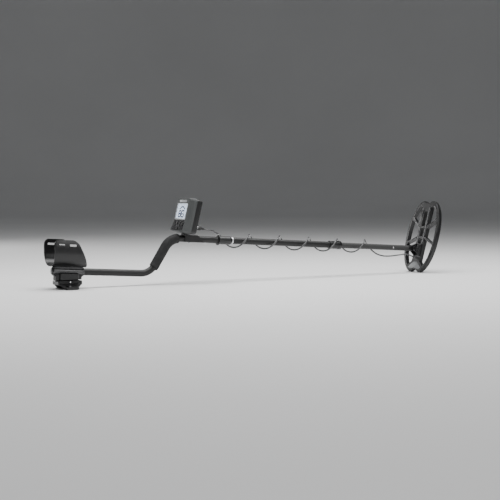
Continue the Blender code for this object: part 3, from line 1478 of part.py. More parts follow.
def make_cable(shaft):
    curve = smooth_curve(cable_route())
    marks, total = [0.0], 0.0
    for one, two in zip(curve, curve[1:]):
        total += (two - one).length
        if len(marks) <= len(CABLE_BREAKS) and two.x > CABLE_BREAKS[len(marks) - 1]:
            marks.append(total)
    marks.append(total)
    for i, name in enumerate(("cable_upper", "cable_middle", "cable_lower")):
        start = marks[i] + (GAP / 2.0 if i else 0.0)
        end = marks[i + 1] - (GAP / 2.0 if i < len(CABLE_BREAKS) else 0.0)
        points = evenly(curve, start, end, CABLE_POINTS[i])
        line = bpy.data.curves.new(name, "CURVE")
        line.dimensions = "3D"
        line.bevel_depth = CABLE_RADIUS
        line.bevel_resolution = 2
        line.use_fill_caps = True
        spline = line.splines.new("POLY")
        spline.points.add(len(points) - 1)
        for spot, point in zip(spline.points, points):
            spot.co = (*point, 1.0)
        line.materials.append(finish("rubber"))
        obj = bpy.data.objects.new(name, line)
        obj.parent = shaft
        bpy.context.collection.objects.link(obj)


# ================================================================ stance
def coil_reach():
    """How far the raised coil's lowest point lies under its pivot."""
    lean = COIL_RAISE - REST_PITCH
    low = COIL_BOTTOM - GAP - COVER_THICKNESS
    levels = ((low, 0.0012), (low + 0.0012, 0.0), (COIL_TOP - COIL_EDGE, 0.0))
    return -min(
        x * math.sin(lean) + level * math.cos(lean)
        for level, inset in levels
        for x, _ in coil_outline(inset)
    )


def shaft_height():
    """Height of the shaft frame's origin over the ground, with the coil's heel on the ground."""
    return coil_reach() + PIVOT_X * math.sin(REST_PITCH)


def stand_height():
    """Height of the stand block's underside over the ground."""
    x = REAR_X + CUFF_CENTRE
    z = LOWER_Z + BLOCK_BOTTOM
    return shaft_height() - x * math.sin(REST_PITCH) + z * math.cos(REST_PITCH)


def centre_on_origin(shaft):
    """Move the detector along X until its own box is centred on the origin."""
    bpy.context.view_layer.update()
    scene = bpy.context.evaluated_depsgraph_get()
    low, high = math.inf, -math.inf
    for obj in bpy.data.objects:
        if obj.type != "MESH" or obj.hide_render:
            continue
        shape = obj.evaluated_get(scene)
        for vertex in shape.data.vertices:
            x = (shape.matrix_world @ vertex.co).x
            low, high = min(low, x), max(high, x)
    shaft.location.x -= (low + high) / 2.0


def main():
    clear_scene()
    shaft = frame("shaft_frame", None, (0.0, 0.0, shaft_height()), (0.0, REST_PITCH, 0.0))
    cuff = frame("cuff_frame", shaft, (REAR_X + CUFF_CENTRE, 0.0, LOWER_Z))
    level = frame("stand_frame", cuff, (0.0, 0.0, BLOCK_BOTTOM), (0.0, -REST_PITCH, 0.0))
    box = frame("box_frame", shaft, (BOX_X, 0.0, BOX_Z), (0.0, BOX_LEAN, 0.0))
    keypad = frame("keypad_frame", box, (0.0, 0.0, KEYPAD_TOP), (0.0, KEYPAD_LEAN, 0.0))
    coil = frame("coil_frame", shaft, (PIVOT_X, 0.0, 0.0), (0.0, -COIL_RAISE, 0.0))

    stem = make_stem(shaft)
    make_grip(shaft)
    make_end_cap(shaft)

    spare = CUFF_BOLT_RADIUS + BOLT_FIT
    drill = turned(((CUFF_BOLT_END - 0.0005, spare), (SADDLE_TOP + 0.012, spare)), 12, axis="Z")
    bolt_hole = tool("cuff_bolt_hole", drill, cuff)
    cut(stem, bolt_hole)
    make_cuff(cuff, bolt_hole)
    make_saddle(cuff, bolt_hole)
    clamp = make_stand_block(cuff, bolt_hole)
    make_cuff_bolt(cuff)
    stand = make_stand(level, -stand_height())
    make_stand_screw(level, stand, clamp)

    face = make_face_shell(box)
    back = make_back_shell(box)
    make_battery_door(box)
    make_display(box)
    make_board(box)
    make_speaker(box)
    make_cells(box)
    make_keys(keypad, face)
    make_box_screws(box, back, face)
    make_socket_and_plug(box, back)
    make_bracket(shaft, stem)

    rod = make_shafts(shaft, stem)
    make_rod_end(shaft, rod)
    make_pivot(coil)
    make_coil_housing(coil)
    make_coil_cover(coil)
    make_winding("transmit_winding", 1.0, WINDING_LEVELS[0], coil)
    make_winding("receive_winding", -1.0, WINDING_LEVELS[1], coil)
    make_gland(coil)
    make_cable(shaft)
    centre_on_origin(shaft)


main()
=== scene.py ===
import json
import math

import bmesh
import bpy
from bpy.props import FloatProperty, FloatVectorProperty, IntProperty, PointerProperty
from mathutils import Matrix, Vector


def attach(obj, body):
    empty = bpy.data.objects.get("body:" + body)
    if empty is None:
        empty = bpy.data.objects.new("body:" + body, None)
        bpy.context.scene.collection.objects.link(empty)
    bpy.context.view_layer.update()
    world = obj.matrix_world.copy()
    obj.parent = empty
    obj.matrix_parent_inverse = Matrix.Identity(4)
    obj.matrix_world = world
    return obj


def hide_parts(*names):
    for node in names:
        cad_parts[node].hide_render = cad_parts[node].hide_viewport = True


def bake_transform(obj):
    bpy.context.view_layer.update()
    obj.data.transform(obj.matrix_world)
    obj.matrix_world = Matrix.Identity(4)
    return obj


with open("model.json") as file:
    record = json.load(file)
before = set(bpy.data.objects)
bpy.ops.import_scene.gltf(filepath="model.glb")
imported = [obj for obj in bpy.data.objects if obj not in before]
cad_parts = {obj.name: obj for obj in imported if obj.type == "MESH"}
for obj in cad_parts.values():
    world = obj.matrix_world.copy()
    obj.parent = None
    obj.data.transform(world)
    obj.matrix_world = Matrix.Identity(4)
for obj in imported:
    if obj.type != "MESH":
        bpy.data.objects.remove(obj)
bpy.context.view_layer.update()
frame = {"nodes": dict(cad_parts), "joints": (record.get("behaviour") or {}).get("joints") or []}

bl_info = {
    "name": "Metal detector",
    "version": (1, 0, 0),
    "blender": (4, 5, 0),
    "location": "3D View > Sidebar > Detector",
    "description": "Dresses the solids of a metal detector in its finished shapes and materials",
    "category": "Object",
}


# ================================================================ frames
def joint(name):
    return next(j for j in frame["joints"] if j["name"] == name)


def shift(x=0.0, y=0.0, z=0.0):
    return Matrix.Translation((x, y, z))


def lean(place, degrees):
    """A frame moved to a place and turned about Y, as the solids' frames are."""
    return shift(*place) @ Matrix.Rotation(math.radians(degrees), 4, "Y")


REST_PITCH = 3.5
COIL_RAISE = 78.2
BOX_LEAN = 10.1
PIVOT_X = 0.990
PIVOT = Vector(joint("coil_tilt")["pos_m"])
ORIGIN = PIVOT - Vector(joint("middle_slide")["axis"]).normalized() * PIVOT_X

TUBE_RADIUS = 0.0110
STEM_BORE = 0.0096
GRIP_ANGLE = math.radians(61.0)
GRIP_RUN = 0.1325
BEND_RADIUS = 0.056
REAR_RUN = 0.330
STEM_FRONT = 0.1985
LOWER_X = -GRIP_RUN * math.cos(GRIP_ANGLE)
LOWER_Z = -GRIP_RUN * math.sin(GRIP_ANGLE)
REAR_X = LOWER_X - REAR_RUN
CUFF_CENTRE = 0.0505
BLOCK_BOTTOM = -0.0270

SHAFT = lean(ORIGIN, REST_PITCH)
CUFF = SHAFT @ shift(REAR_X + CUFF_CENTRE, 0.0, LOWER_Z)
STAND = CUFF @ lean((0.0, 0.0, BLOCK_BOTTOM), -REST_PITCH)
BOX_PLACE = (0.0244, 0.0, 0.0215)
KEYPAD_TOP = 0.040
KEYPAD_JUT = 0.0050
BOX = SHAFT @ lean(BOX_PLACE, BOX_LEAN)
KEYPAD = BOX @ lean((0.0, 0.0, KEYPAD_TOP), math.degrees(math.atan(KEYPAD_JUT / KEYPAD_TOP)))
COIL = SHAFT @ lean((PIVOT_X, 0.0, 0.0), -COIL_RAISE)

# The clearance between pieces that fit into or onto each other
GAP = 0.0003
BEND_REACH = BEND_RADIUS * math.tan(GRIP_ANGLE / 2.0)
BEND_LENGTH = BEND_RADIUS * GRIP_ANGLE

# Length and turn of each stretch of the stem, from its rear end
STEM_LEGS = (
    (REAR_RUN - BEND_REACH, 0.0),
    (BEND_LENGTH, GRIP_ANGLE),
    (GRIP_RUN - 2.0 * BEND_REACH, 0.0),
    (BEND_LENGTH, -GRIP_ANGLE),
    (STEM_FRONT - BEND_REACH, 0.0),
)


# ================================================================ mesh helpers
def skin(rings, closed=False):
    """Faces between rings of equal count. The last ring meets the first, or both ends are capped."""
    form = bmesh.new()
    loops = [[form.verts.new(point) for point in ring] for ring in rings]
    pairs = list(zip(loops, loops[1:]))
    if closed:
        pairs.append((loops[-1], loops[0]))
    for one, two in pairs:
        for i, corner in enumerate(one):
            j = (i + 1) % len(one)
            form.faces.new((corner, one[j], two[j], two[i]))
    if not closed:
        form.faces.new(loops[0])
        form.faces.new(loops[-1])
    return form


def circle(radius, sides):
    return [
        (radius * math.cos(math.tau * i / sides), radius * math.sin(math.tau * i / sides))
        for i in range(sides)
    ]


PLACES = {
    "X": lambda along, a, b: (along, a, b),
    "Y": lambda along, a, b: (a, along, b),
    "Z": lambda along, a, b: (a, b, along),
}


def ring_at(outline, along, axis="X"):
    """An outline at a place along an axis. Its pairs are the two other axes in X, Y, Z order."""
    return [PLACES[axis](along, a, b) for a, b in outline]


def turned(profile, sides=64, closed=False, axis="X"):
    """A turned piece from pairs of place along the axis and radius."""
    return skin([ring_at(circle(radius, sides), along, axis) for along, radius in profile], closed)


def prism(outline, low, high, axis="Z"):
    """An outline pushed along an axis."""
    return skin([ring_at(outline, level, axis) for level in (low, high)])


def rounded(low, high, radius, steps=6):
    corners = (
        (high[0] - radius, high[1] - radius, 0.0),
        (low[0] + radius, high[1] - radius, 90.0),
        (low[0] + radius, low[1] + radius, 180.0),
        (high[0] - radius, low[1] + radius, 270.0),
    )
    outline = []
    for a, b, start in corners:
        for i in range(steps + 1):
            angle = math.radians(start + 90.0 * i / steps)
            outline.append((a + radius * math.cos(angle), b + radius * math.sin(angle)))
    return outline


def raw(name, form, place):
    """A mesh object in the solids' common frame, from a form in the frame of its place."""
    form.transform(place)
    bmesh.ops.recalc_face_normals(form, faces=form.faces)
    mesh = bpy.data.meshes.new(name)
    form.to_mesh(mesh)
    form.free()
    obj = bpy.data.objects.new(name, mesh)
    bpy.context.scene.collection.objects.link(obj)
    return obj


def settle(obj):
    """Writes the modifiers into the mesh."""
    bpy.context.view_layer.update()
    shape = obj.evaluated_get(bpy.context.evaluated_depsgraph_get())
    made = bpy.data.meshes.new_from_object(shape)
    obj.modifiers.clear()
    obj.data = made


def carve(obj, forms, place):
    """Cuts forms out of a piece and leaves no helper behind."""
    helpers = [raw("helper_%d" % i, form, place) for i, form in enumerate(forms)]
    for helper in helpers:
        cut = obj.modifiers.new(helper.name, "BOOLEAN")
        cut.operation = "DIFFERENCE"
        cut.solver = "EXACT"
        cut.object = helper
    settle(obj)
    for helper in helpers:
        bpy.data.objects.remove(helper)


def bevel(obj, width, segments=3, angle=32.0):
    """Small round edges that catch the light."""
    edge = obj.modifiers.new("Edges", "BEVEL")
    edge.width = width
    edge.segments = segments
    edge.limit_method = "ANGLE"
    edge.angle_limit = math.radians(angle)


def dress(obj, body, finish, node=""):
    """Gives a piece its material and slot and the body it rides on, and hides the solid it stands for."""
    obj.data.materials.clear()
    obj.data.materials.append(material(finish))
    obj.data.shade_smooth()
    obj.data.set_sharp_from_angle(angle=math.radians(32.0))
    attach(obj, body)
    if node:
        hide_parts(node)
    return obj


def make(name, form, place, body, finish, node="", soft=0.0):
    """A finished piece from a form, with its edges rounded by soft."""
    obj = raw(name, form, place)
    if soft:
        bevel(obj, soft)
        settle(obj)
    return dress(obj, body, finish, node)


def keep(node, finish, width=0.0):
    """A solid that stays in view, with softened edges and a finished material."""
    obj = frame["nodes"][node]
    obj.data.materials.clear()
    obj.data.materials.append(material(finish))
    for face in obj.data.polygons:
        face.use_smooth = True
    weld = obj.modifiers.new("Weld", "WELD")
    weld.merge_threshold = 0.00001
    if width:
        bevel(obj, width, 2)
    normals = obj.modifiers.new("Normals", "WEIGHTED_NORMAL")
    normals.keep_sharp = False
    normals.weight = 60


# ================================================================ materials
def link(tree, one, out, two, into):
    tree.links.new(one.outputs[out], two.inputs[into])


def shader_of(name):
    made = bpy.data.materials.new(name)
    made.use_nodes = True
    return made, made.node_tree, made.node_tree.nodes["Principled BSDF"]


def noise(tree, place, scale, detail=4.0, stretch=None):
    source = tree.nodes.new("ShaderNodeTexNoise")
    source.inputs["Scale"].default_value = scale
    source.inputs["Detail"].default_value = detail
    if stretch:
        mapping = tree.nodes.new("ShaderNodeMapping")
        mapping.inputs["Scale"].default_value = stretch
        link(tree, place, "Object", mapping, "Vector")
        link(tree, mapping, "Vector", source, "Vector")
    else:
        link(tree, place, "Object", source, "Vector")
    return source


def spread(tree, source, low, high):
    """A texture's value, spread between low and high."""
    ramp = tree.nodes.new("ShaderNodeMapRange")
    ramp.inputs["From Min"].default_value = 0.3
    ramp.inputs["From Max"].default_value = 0.7
    ramp.inputs["To Min"].default_value = low
    ramp.inputs["To Max"].default_value = high
    link(tree, source, "Fac", ramp, "Value")
    return ramp


def tones(tree, source, dark, light):
    """A texture's value, as a colour between dark and light."""
    ramp = tree.nodes.new("ShaderNodeValToRGB")
    ramp.color_ramp.elements[0].position = 0.3
    ramp.color_ramp.elements[1].position = 0.7
    ramp.color_ramp.elements[0].color = (*dark, 1.0)
    ramp.color_ramp.elements[1].color = (*light, 1.0)
    link(tree, source, "Fac", ramp, "Fac")
    return ramp


def setting(name):
    """A colour of the settings, as a plain triple."""
    return tuple(getattr(bpy.context.scene.detector_colours, name))


def surface(name, base, vary, rough, grain, bump, depth, stretch=None, metal=0.0, coat=0.0, cells=False):
    """One moulded, painted or metal finish: tone, roughness and relief all vary over it."""
    made, tree, shader = shader_of(name)
    place = tree.nodes.new("ShaderNodeTexCoord")
    colour = setting(base) if isinstance(base, str) else base
    dark = tuple(c * (1.0 - vary) for c in colour)
    light = tuple(min(1.0, c * (1.0 + vary)) for c in colour)
    link(tree, tones(tree, noise(tree, place, 18.0), dark, light), "Color", shader, "Base Color")
    link(tree, spread(tree, noise(tree, place, 60.0), rough[0], rough[1]), "Result", shader, "Roughness")
    if cells:
        fine = tree.nodes.new("ShaderNodeTexVoronoi")
        fine.inputs["Scale"].default_value = grain
        link(tree, place, "Object", fine, "Vector")
        out = "Distance"
    else:
        fine, out = noise(tree, place, grain, 3.0, stretch), "Fac"
    relief = tree.nodes.new("ShaderNodeBump")
    relief.inputs["Strength"].default_value = bump
    relief.inputs["Distance"].default_value = depth
    link(tree, fine, out, relief, "Height")
    link(tree, relief, "Normal", shader, "Normal")
    shader.inputs["Metallic"].default_value = metal
    shader.inputs["Coat Weight"].default_value = coat
    shader.inputs["Coat Roughness"].default_value = 0.18
    return made


def clear_lens(name):
    made, tree, shader = shader_of(name)
    place = tree.nodes.new("ShaderNodeTexCoord")
    shader.inputs["Base Color"].default_value = (0.93, 0.96, 1.0, 1.0)
    shader.inputs["Transmission Weight"].default_value = 1.0
    shader.inputs["IOR"].default_value = 1.30
    link(tree, spread(tree, noise(tree, place, 90.0), 0.01, 0.05), "Result", shader, "Roughness")
    return made


def glow_painted_display(name):
    """The display's pale glass: a painted glow, an even emission that keeps it bright in the lens's shade,
    very slightly cloudy.
    """
    made, tree, shader = shader_of(name)
    tint = setting("display")
    place = tree.nodes.new("ShaderNodeTexCoord")
    shade = tones(tree, noise(tree, place, 30.0, 1.0), tuple(c * 0.93 for c in tint), tint)
    link(tree, shade, "Color", shader, "Base Color")
    # painted glow: the display gives off its own pale light, so shade under the lens does not darken it
    link(tree, shade, "Color", shader, "Emission Color")
    shader.inputs["Emission Strength"].default_value = 1.2
    link(tree, spread(tree, noise(tree, place, 200.0), 0.25, 0.34), "Result", shader, "Roughness")
    return made


# Each finish's colour or the setting that holds it, how far the colour varies, its roughness,
# its grain, and the strength and depth of its relief, then what only some finishes have
FINISHES = {
    "satin_sleeve": ((0.030, 0.030, 0.032), 0.10, (0.20, 0.28), 900.0, 0.08, 0.0002, {"coat": 0.6}),
    "foam": ("foam", 0.25, (0.72, 0.86), 950.0, 0.55, 0.0005, {"cells": True}),
    "moulded": ("moulding", 0.15, (0.27, 0.37), 1400.0, 0.18, 0.0002, {}),
    "keypad": ((0.006, 0.006, 0.007), 0.2, (0.10, 0.16), 1200.0, 0.05, 0.0001, {"coat": 0.2}),
    "strip_grey": ((0.36, 0.37, 0.38), 0.06, (0.28, 0.38), 1500.0, 0.08, 0.0001, {}),
    "coil": ("coil", 0.18, (0.28, 0.42), 1100.0, 0.20, 0.0003, {}),
    "gloss_edge": ((0.020, 0.020, 0.022), 0.10, (0.16, 0.19), 900.0, 0.02, 0.0001, {"coat": 1.0}),
    "shield_grey": ((0.20, 0.205, 0.21), 0.10, (0.34, 0.44), 1300.0, 0.12, 0.0002, {}),
    "rubber": ((0.012, 0.012, 0.012), 0.2, (0.55, 0.70), 1500.0, 0.25, 0.0002, {}),
    "steel": (
        (0.60, 0.60, 0.61), 0.06, (0.16, 0.30), 900.0, 0.10, 0.0001,
        {"stretch": (1.0, 0.08, 1.0), "metal": 1.0},
    ),
    "nylon": ((0.80, 0.80, 0.77), 0.05, (0.35, 0.48), 1300.0, 0.10, 0.0001, {}),
    "copper": ((0.62, 0.22, 0.08), 0.15, (0.22, 0.34), 1800.0, 0.15, 0.0001, {"metal": 1.0}),
    "board": ((0.015, 0.13, 0.05), 0.2, (0.30, 0.44), 700.0, 0.25, 0.0002, {}),
    "cell": ((0.09, 0.09, 0.10), 0.1, (0.20, 0.30), 900.0, 0.05, 0.0001, {"coat": 0.3}),
    "cable": ((0.045, 0.045, 0.047), 0.12, (0.22, 0.30), 1500.0, 0.08, 0.0001, {"coat": 0.5}),
    "segment": ((0.010, 0.020, 0.095), 0.1, (0.30, 0.40), 900.0, 0.03, 0.0001, {}),
}
OWN_FINISHES = {"lens": clear_lens, "display": glow_painted_display}


def material(name):
    """The finish of that name, made once, or the frame's material where it has that name."""
    if name in bpy.data.materials:
        return bpy.data.materials[name]
    if name in OWN_FINISHES:
        return OWN_FINISHES[name](name)
    *common, special = FINISHES[name]
    return surface(name, *common, **special)


# ================================================================ settings
def colour_setting(name, description, default):
    return FloatVectorProperty(
        name=name, description=description, size=3, subtype="COLOR", min=0.0, max=1.0, default=default,
    )


def length_setting(name, description, default, least):
    return FloatProperty(name=name, description=description, unit="LENGTH", default=default, min=least)


class DetectorColours(bpy.types.PropertyGroup):
    """Colours of the finishes that a user would change"""

    foam: colour_setting("Grip foam", "Foam of the hand grip", (0.010, 0.010, 0.0105))
    moulding: colour_setting("Mouldings", "Cuff, stand, collars and bracket", (0.006, 0.006, 0.0065))
    coil: colour_setting("Search coil", "Coil housing and its cover", (0.006, 0.006, 0.0065))
    display: colour_setting("Display", "Glow of the display", (0.74, 0.82, 0.93))


class DetectorSizes(bpy.types.PropertyGroup):
    """Sizes of the scene's own pieces, and the number shown"""

    grip_radius: length_setting("Grip radius", "Outside of the foam grip", 0.0155, 0.012)
    cuff_wall: length_setting("Cuff wall", "Thickness of the arm cuff", 0.0030, 0.001)
    cable_radius: length_setting("Cable radius", "Outside of the coil's cable", 0.0025, 0.001)
    shown_number: IntProperty(
        name="Shown number", description="Two-digit number on the display", default=86, min=0, max=99,
    )


# ================================================================ stem and grip
FOAM_BEHIND = 0.012
FOAM_AHEAD = 0.029
FOAM_LIP = 0.0032
FOAM_STEP = 0.0008


def stem_pose(distance):
    """Point and heading of the stem's centreline, at a distance along it from the rear end."""
    x, z, heading = REAR_X, LOWER_Z, 0.0
    for length, turn in STEM_LEGS:
        step = min(distance, length)
        if turn:
            radius = length / turn
            after = heading + turn * step / length
            x += radius * (math.sin(after) - math.sin(heading))
            z += radius * (math.cos(heading) - math.cos(after))
            heading = after
        else:
            x += step * math.cos(heading)
            z += step * math.sin(heading)
        distance -= step
        if distance <= 0.0:
            break
    return Vector((x, 0.0, z)), heading


def stem_ring(distance, radius, sides=72):
    centre, heading = stem_pose(distance)
    across = Vector((-math.sin(heading), 0.0, math.cos(heading)))
    return [centre + Vector((0.0, a, 0.0)) + across * b for a, b in circle(radius, sides)]


def stations(start, end, step=0.0035):
    count = max(2, int((end - start) / step))
    return [start + (end - start) * i / count for i in range(count + 1)]


class DETECTOR_OT_stem(bpy.types.Operator):
    """Make the S-shaped stem and its end cap"""

    bl_idname = "detector.stem"
    bl_label = "Stem"

    def execute(self, context):
        along = stations(0.0, sum(run for run, _ in STEM_LEGS))
        rings = [stem_ring(at, TUBE_RADIUS) for at in along]
        rings += [stem_ring(at, STEM_BORE) for at in reversed(along)]
        make("stem_tube", skin(rings, True), SHAFT, "root", "satin_tube", "s_stem", 0.0003)
        cap = (
            (-0.0030, 0.0030), (-0.0030, 0.0084), (-0.0026, 0.0092), (-0.0022, 0.0103),
            (-0.0012, 0.0109), (-GAP, 0.0110), (-GAP, 0.0093), (0.0115, 0.0093), (0.0120, 0.0080),
        )
        place = SHAFT @ shift(REAR_X, 0.0, LOWER_Z)
        make("end_cap", turned(cap), place, "root", "moulded", "stem_end_cap")
        disc = (
            (-0.0031, 0.0001), (-0.0031, 0.0070), (-0.0029, 0.0076), (-0.0026, 0.0076), (-0.0026, 0.0001),
        )
        make("end_cap_disc", turned(disc), place, "root", "shield_grey")
        return {"FINISHED"}


class DETECTOR_OT_grip(bpy.types.Operator):
    """Make the foam sleeve of the hand grip"""

    bl_idname = "detector.grip"
    bl_label = "Grip"

    def execute(self, context):
        radius = context.scene.detector_sizes.grip_radius
        lower_end = STEM_LEGS[0][0] + BEND_LENGTH
        upper_end = lower_end + STEM_LEGS[2][0] + BEND_LENGTH
        start, end = lower_end - FOAM_BEHIND, upper_end + FOAM_AHEAD - BEND_REACH
        along = stations(start, end, FOAM_STEP)
        rings = []
        for at in along:
            short = max(0.0, FOAM_LIP - min(at - start, end - at))
            drop = FOAM_LIP - math.sqrt(max(0.0, FOAM_LIP**2 - short**2))
            rings.append(stem_ring(at, radius - drop))
        rings += [stem_ring(at, TUBE_RADIUS + GAP) for at in reversed(along)]
        grip = make("foam_grip", skin(rings, True), SHAFT, "root", "foam", "grip_sleeve")
        return {"FINISHED"}


# ================================================================ cuff and stand
CUFF_SET_BACK = 0.0035
CUFF_LENGTH = 0.1128
CUFF_FRONT_SLANT = 0.043
CUFF_REAR_SLANT = 0.005
CUFF_HALF_WIDTH = 0.048
CUFF_BELLY = 0.043
CUFF_HEIGHT = 0.0815
CUFF_TUCK = 0.005
CUFF_CORNER = 0.016
CUFF_FLAT = 0.0075
CUFF_SQUARENESS = 2.1
CUFF_SLOT = (0.023, 0.0065)
CUFF_SLOT_SPACING = 0.0375
CUFF_SLOT_DROP = 0.0155
SADDLE_TOP = 0.0140


def cuff_side():
    """Half of the bowl's middle line across, from its floor to its top edge."""
    power = 2.0 / CUFF_SQUARENESS
    points = []
    for i in range(28):
        angle = math.radians(90.0 * i / 27)
        side = CUFF_FLAT + (CUFF_HALF_WIDTH - CUFF_FLAT) * math.sin(angle) ** power
        points.append((side, CUFF_BELLY * (1.0 - math.cos(angle) ** power)))
    for i in range(1, 33):
        share = math.sin(math.radians(90.0 * i / 32))
        height = CUFF_BELLY + (CUFF_HEIGHT - CUFF_BELLY) * share
        points.append((CUFF_HALF_WIDTH - CUFF_TUCK * share * share, height))
    return points


def cuff_ends(height):
    """Where the cuff starts and ends along the tube, at a height over its floor."""
    share = height / CUFF_HEIGHT
    rear = -CUFF_SET_BACK - CUFF_LENGTH / 2.0 - CUFF_REAR_SLANT * share
    front = -CUFF_SET_BACK + CUFF_LENGTH / 2.0 - CUFF_FRONT_SLANT * share
    over = max(0.0, height - (CUFF_HEIGHT - CUFF_CORNER))
    corner = CUFF_CORNER - math.sqrt(max(0.0, CUFF_CORNER**2 - over**2))
    return rear + corner, front - corner


class DETECTOR_OT_cuff(bpy.types.Operator):
    """Make the arm cuff with its strap slots and bolt"""

    bl_idname = "detector.cuff"
    bl_label = "Arm cuff"

    def execute(self, context):
        wall = context.scene.detector_sizes.cuff_wall
        floor = SADDLE_TOP + GAP + wall / 2.0
        half = cuff_side()
        across = [(-side, height) for side, height in reversed(half)] + half
        form = bmesh.new()
        rows = []
        for side, height in across:
            rear, front = cuff_ends(height)
            places = [rear + (front - rear) * i / 12 for i in range(13)]
            rows.append([form.verts.new((x, side, floor + height)) for x in places])
        for one, two in zip(rows, rows[1:]):
            for i in range(12):
                form.faces.new((one[i], one[i + 1], two[i + 1], two[i]))
        cuff = raw("cuff_shell", form, CUFF)
        thick = cuff.modifiers.new("Wall", "SOLIDIFY")
        thick.thickness = wall
        thick.offset = 0.0
        thick.use_even_offset = True
        settle(cuff)
        level = floor + CUFF_HEIGHT - CUFF_SLOT_DROP
        rear, front = cuff_ends(CUFF_HEIGHT - CUFF_SLOT_DROP)
        half_long, half_high = CUFF_SLOT[0] / 2.0, CUFF_SLOT[1] / 2.0
        holes = []
        for side in (-0.5, 0.5):
            x = (rear + front) / 2.0 + side * CUFF_SLOT_SPACING
            outline = rounded(
                (x - half_long, level - half_high), (x + half_long, level + half_high), CUFF_SLOT[1] * 0.45,
            )
            holes.append(prism(outline, -0.055, 0.055, "Y"))
        holes.append(turned(((0.0, 0.0028), (0.03, 0.0028)), 32, axis="Z"))
        carve(cuff, holes, CUFF)
        bevel(cuff, 0.0009, angle=40.0)
        settle(cuff)
        dress(cuff, "root", "moulded", "arm_cuff")
        seat = SADDLE_TOP + 0.0030 + 2.0 * GAP
        bolt = (
            (-0.0225, 0.0025), (seat, 0.0025), (seat, 0.0056), (seat + 0.0004, 0.0058),
            (seat + 0.0015, 0.0057), (seat + 0.0023, 0.0048), (seat + 0.0025, 0.0030),
            (seat + 0.0012, 0.0028),
        )
        make("cuff_bolt_head", turned(bolt, 48, axis="Z"), CUFF, "root", "steel", "cuff_bolt")
        return {"FINISHED"}


class DETECTOR_OT_stand(bpy.types.Operator):
    """Finish the saddle, clamp block and stand"""

    bl_idname = "detector.stand"
    bl_label = "Saddle and stand"

    def execute(self, context):
        keep("cuff_saddle", "satin_sleeve", 0.0005)
        keep("stand_block", "moulded", 0.0006)
        keep("stand", "moulded", 0.0008)
        seat = -0.0251
        head = (
            (seat - 0.0016, 0.0010), (seat - 0.0016, 0.0020), (seat - 0.0010, 0.0027),
            (seat, 0.0028), (seat, 0.0016), (0.0120, 0.0016),
        )
        place = STAND @ shift(z=-0.0040)
        make("stand_cross_screw", turned(head, 40, axis="Y"), place, "root", "steel", "stand_screw")
        return {"FINISHED"}


# ================================================================ control box
HALF_WIDTH = 0.0485
DEPTH = 0.046
CHAMFER = (0.016, 0.0085)
FACE_EDGE = (0.0012, 0.0008)

# Half the width of the display's window, its height, and how high its middle lies
WINDOW = (0.0350, 0.050, 0.0685)
KEYPAD_TAPER = 0.16
SIDE_RIDGE = ((-0.0006, -0.0001), (-0.0003, 0.0005), (0.0003, 0.0005), (0.0006, -0.0001))

# Each key's name, its place across and up the face, and its tilt in degrees
KEYS = (
    ("key_outer_right", -0.0270, 0.0250, -26.0),
    ("key_inner_right", -0.0098, 0.0285, -10.0),
    ("key_outer_left", 0.0270, 0.0250, 26.0),
    ("key_inner_left", 0.0098, 0.0285, 10.0),
    ("key_power", 0.0, 0.0105, 0.0),
)

# Levels from a key's crown to its root, each with its share of the outline
KEY_CROWN = (
    (-0.0018, 0.80), (-0.0017, 0.88), (-0.0014, 0.95), (-0.0010, 0.99), (-0.0006, 1.0), (0.0085, 1.0),
)

# The bars that each digit lights, from 0 to 9
SEGMENTS = ("abcdef", "bc", "abged", "abgcd", "fgbc", "afgcd", "afgedc", "abc", "abcdefg", "abcdfg")

BRACKET_SCREW_X = 0.072
SCREW_SIDE = 0.0388
SCREW_HEIGHTS = (0.062, 0.086)
SOCKET_PLACE = (-0.030, 0.027)
SOCKET_LENGTH = 0.0085
PLUG_LENGTH = 0.023


def key_outline(name, spare=0.0):
    if name == "key_power":
        return circle(0.0048 + spare, 40)
    return rounded((-0.00475 - spare, -0.0075 - spare), (0.00475 + spare, 0.0075 + spare), 0.0040)


def key_place(side, height, tilt):
    return KEYPAD @ shift(0.0, side, height - KEYPAD_TOP) @ Matrix.Rotation(math.radians(-tilt), 4, "X")


def bar(y0, z0, y1, z1, thick):
    """A flat bar between two points of the face, with pointed ends."""
    a, b = Vector((y0, z0)), Vector((y1, z1))
    inset = (b - a).normalized() * thick / 2.0
    side = Vector((-inset.y, inset.x))
    return a, a + inset + side, b - inset + side, b, b - inset - side, a + inset - side


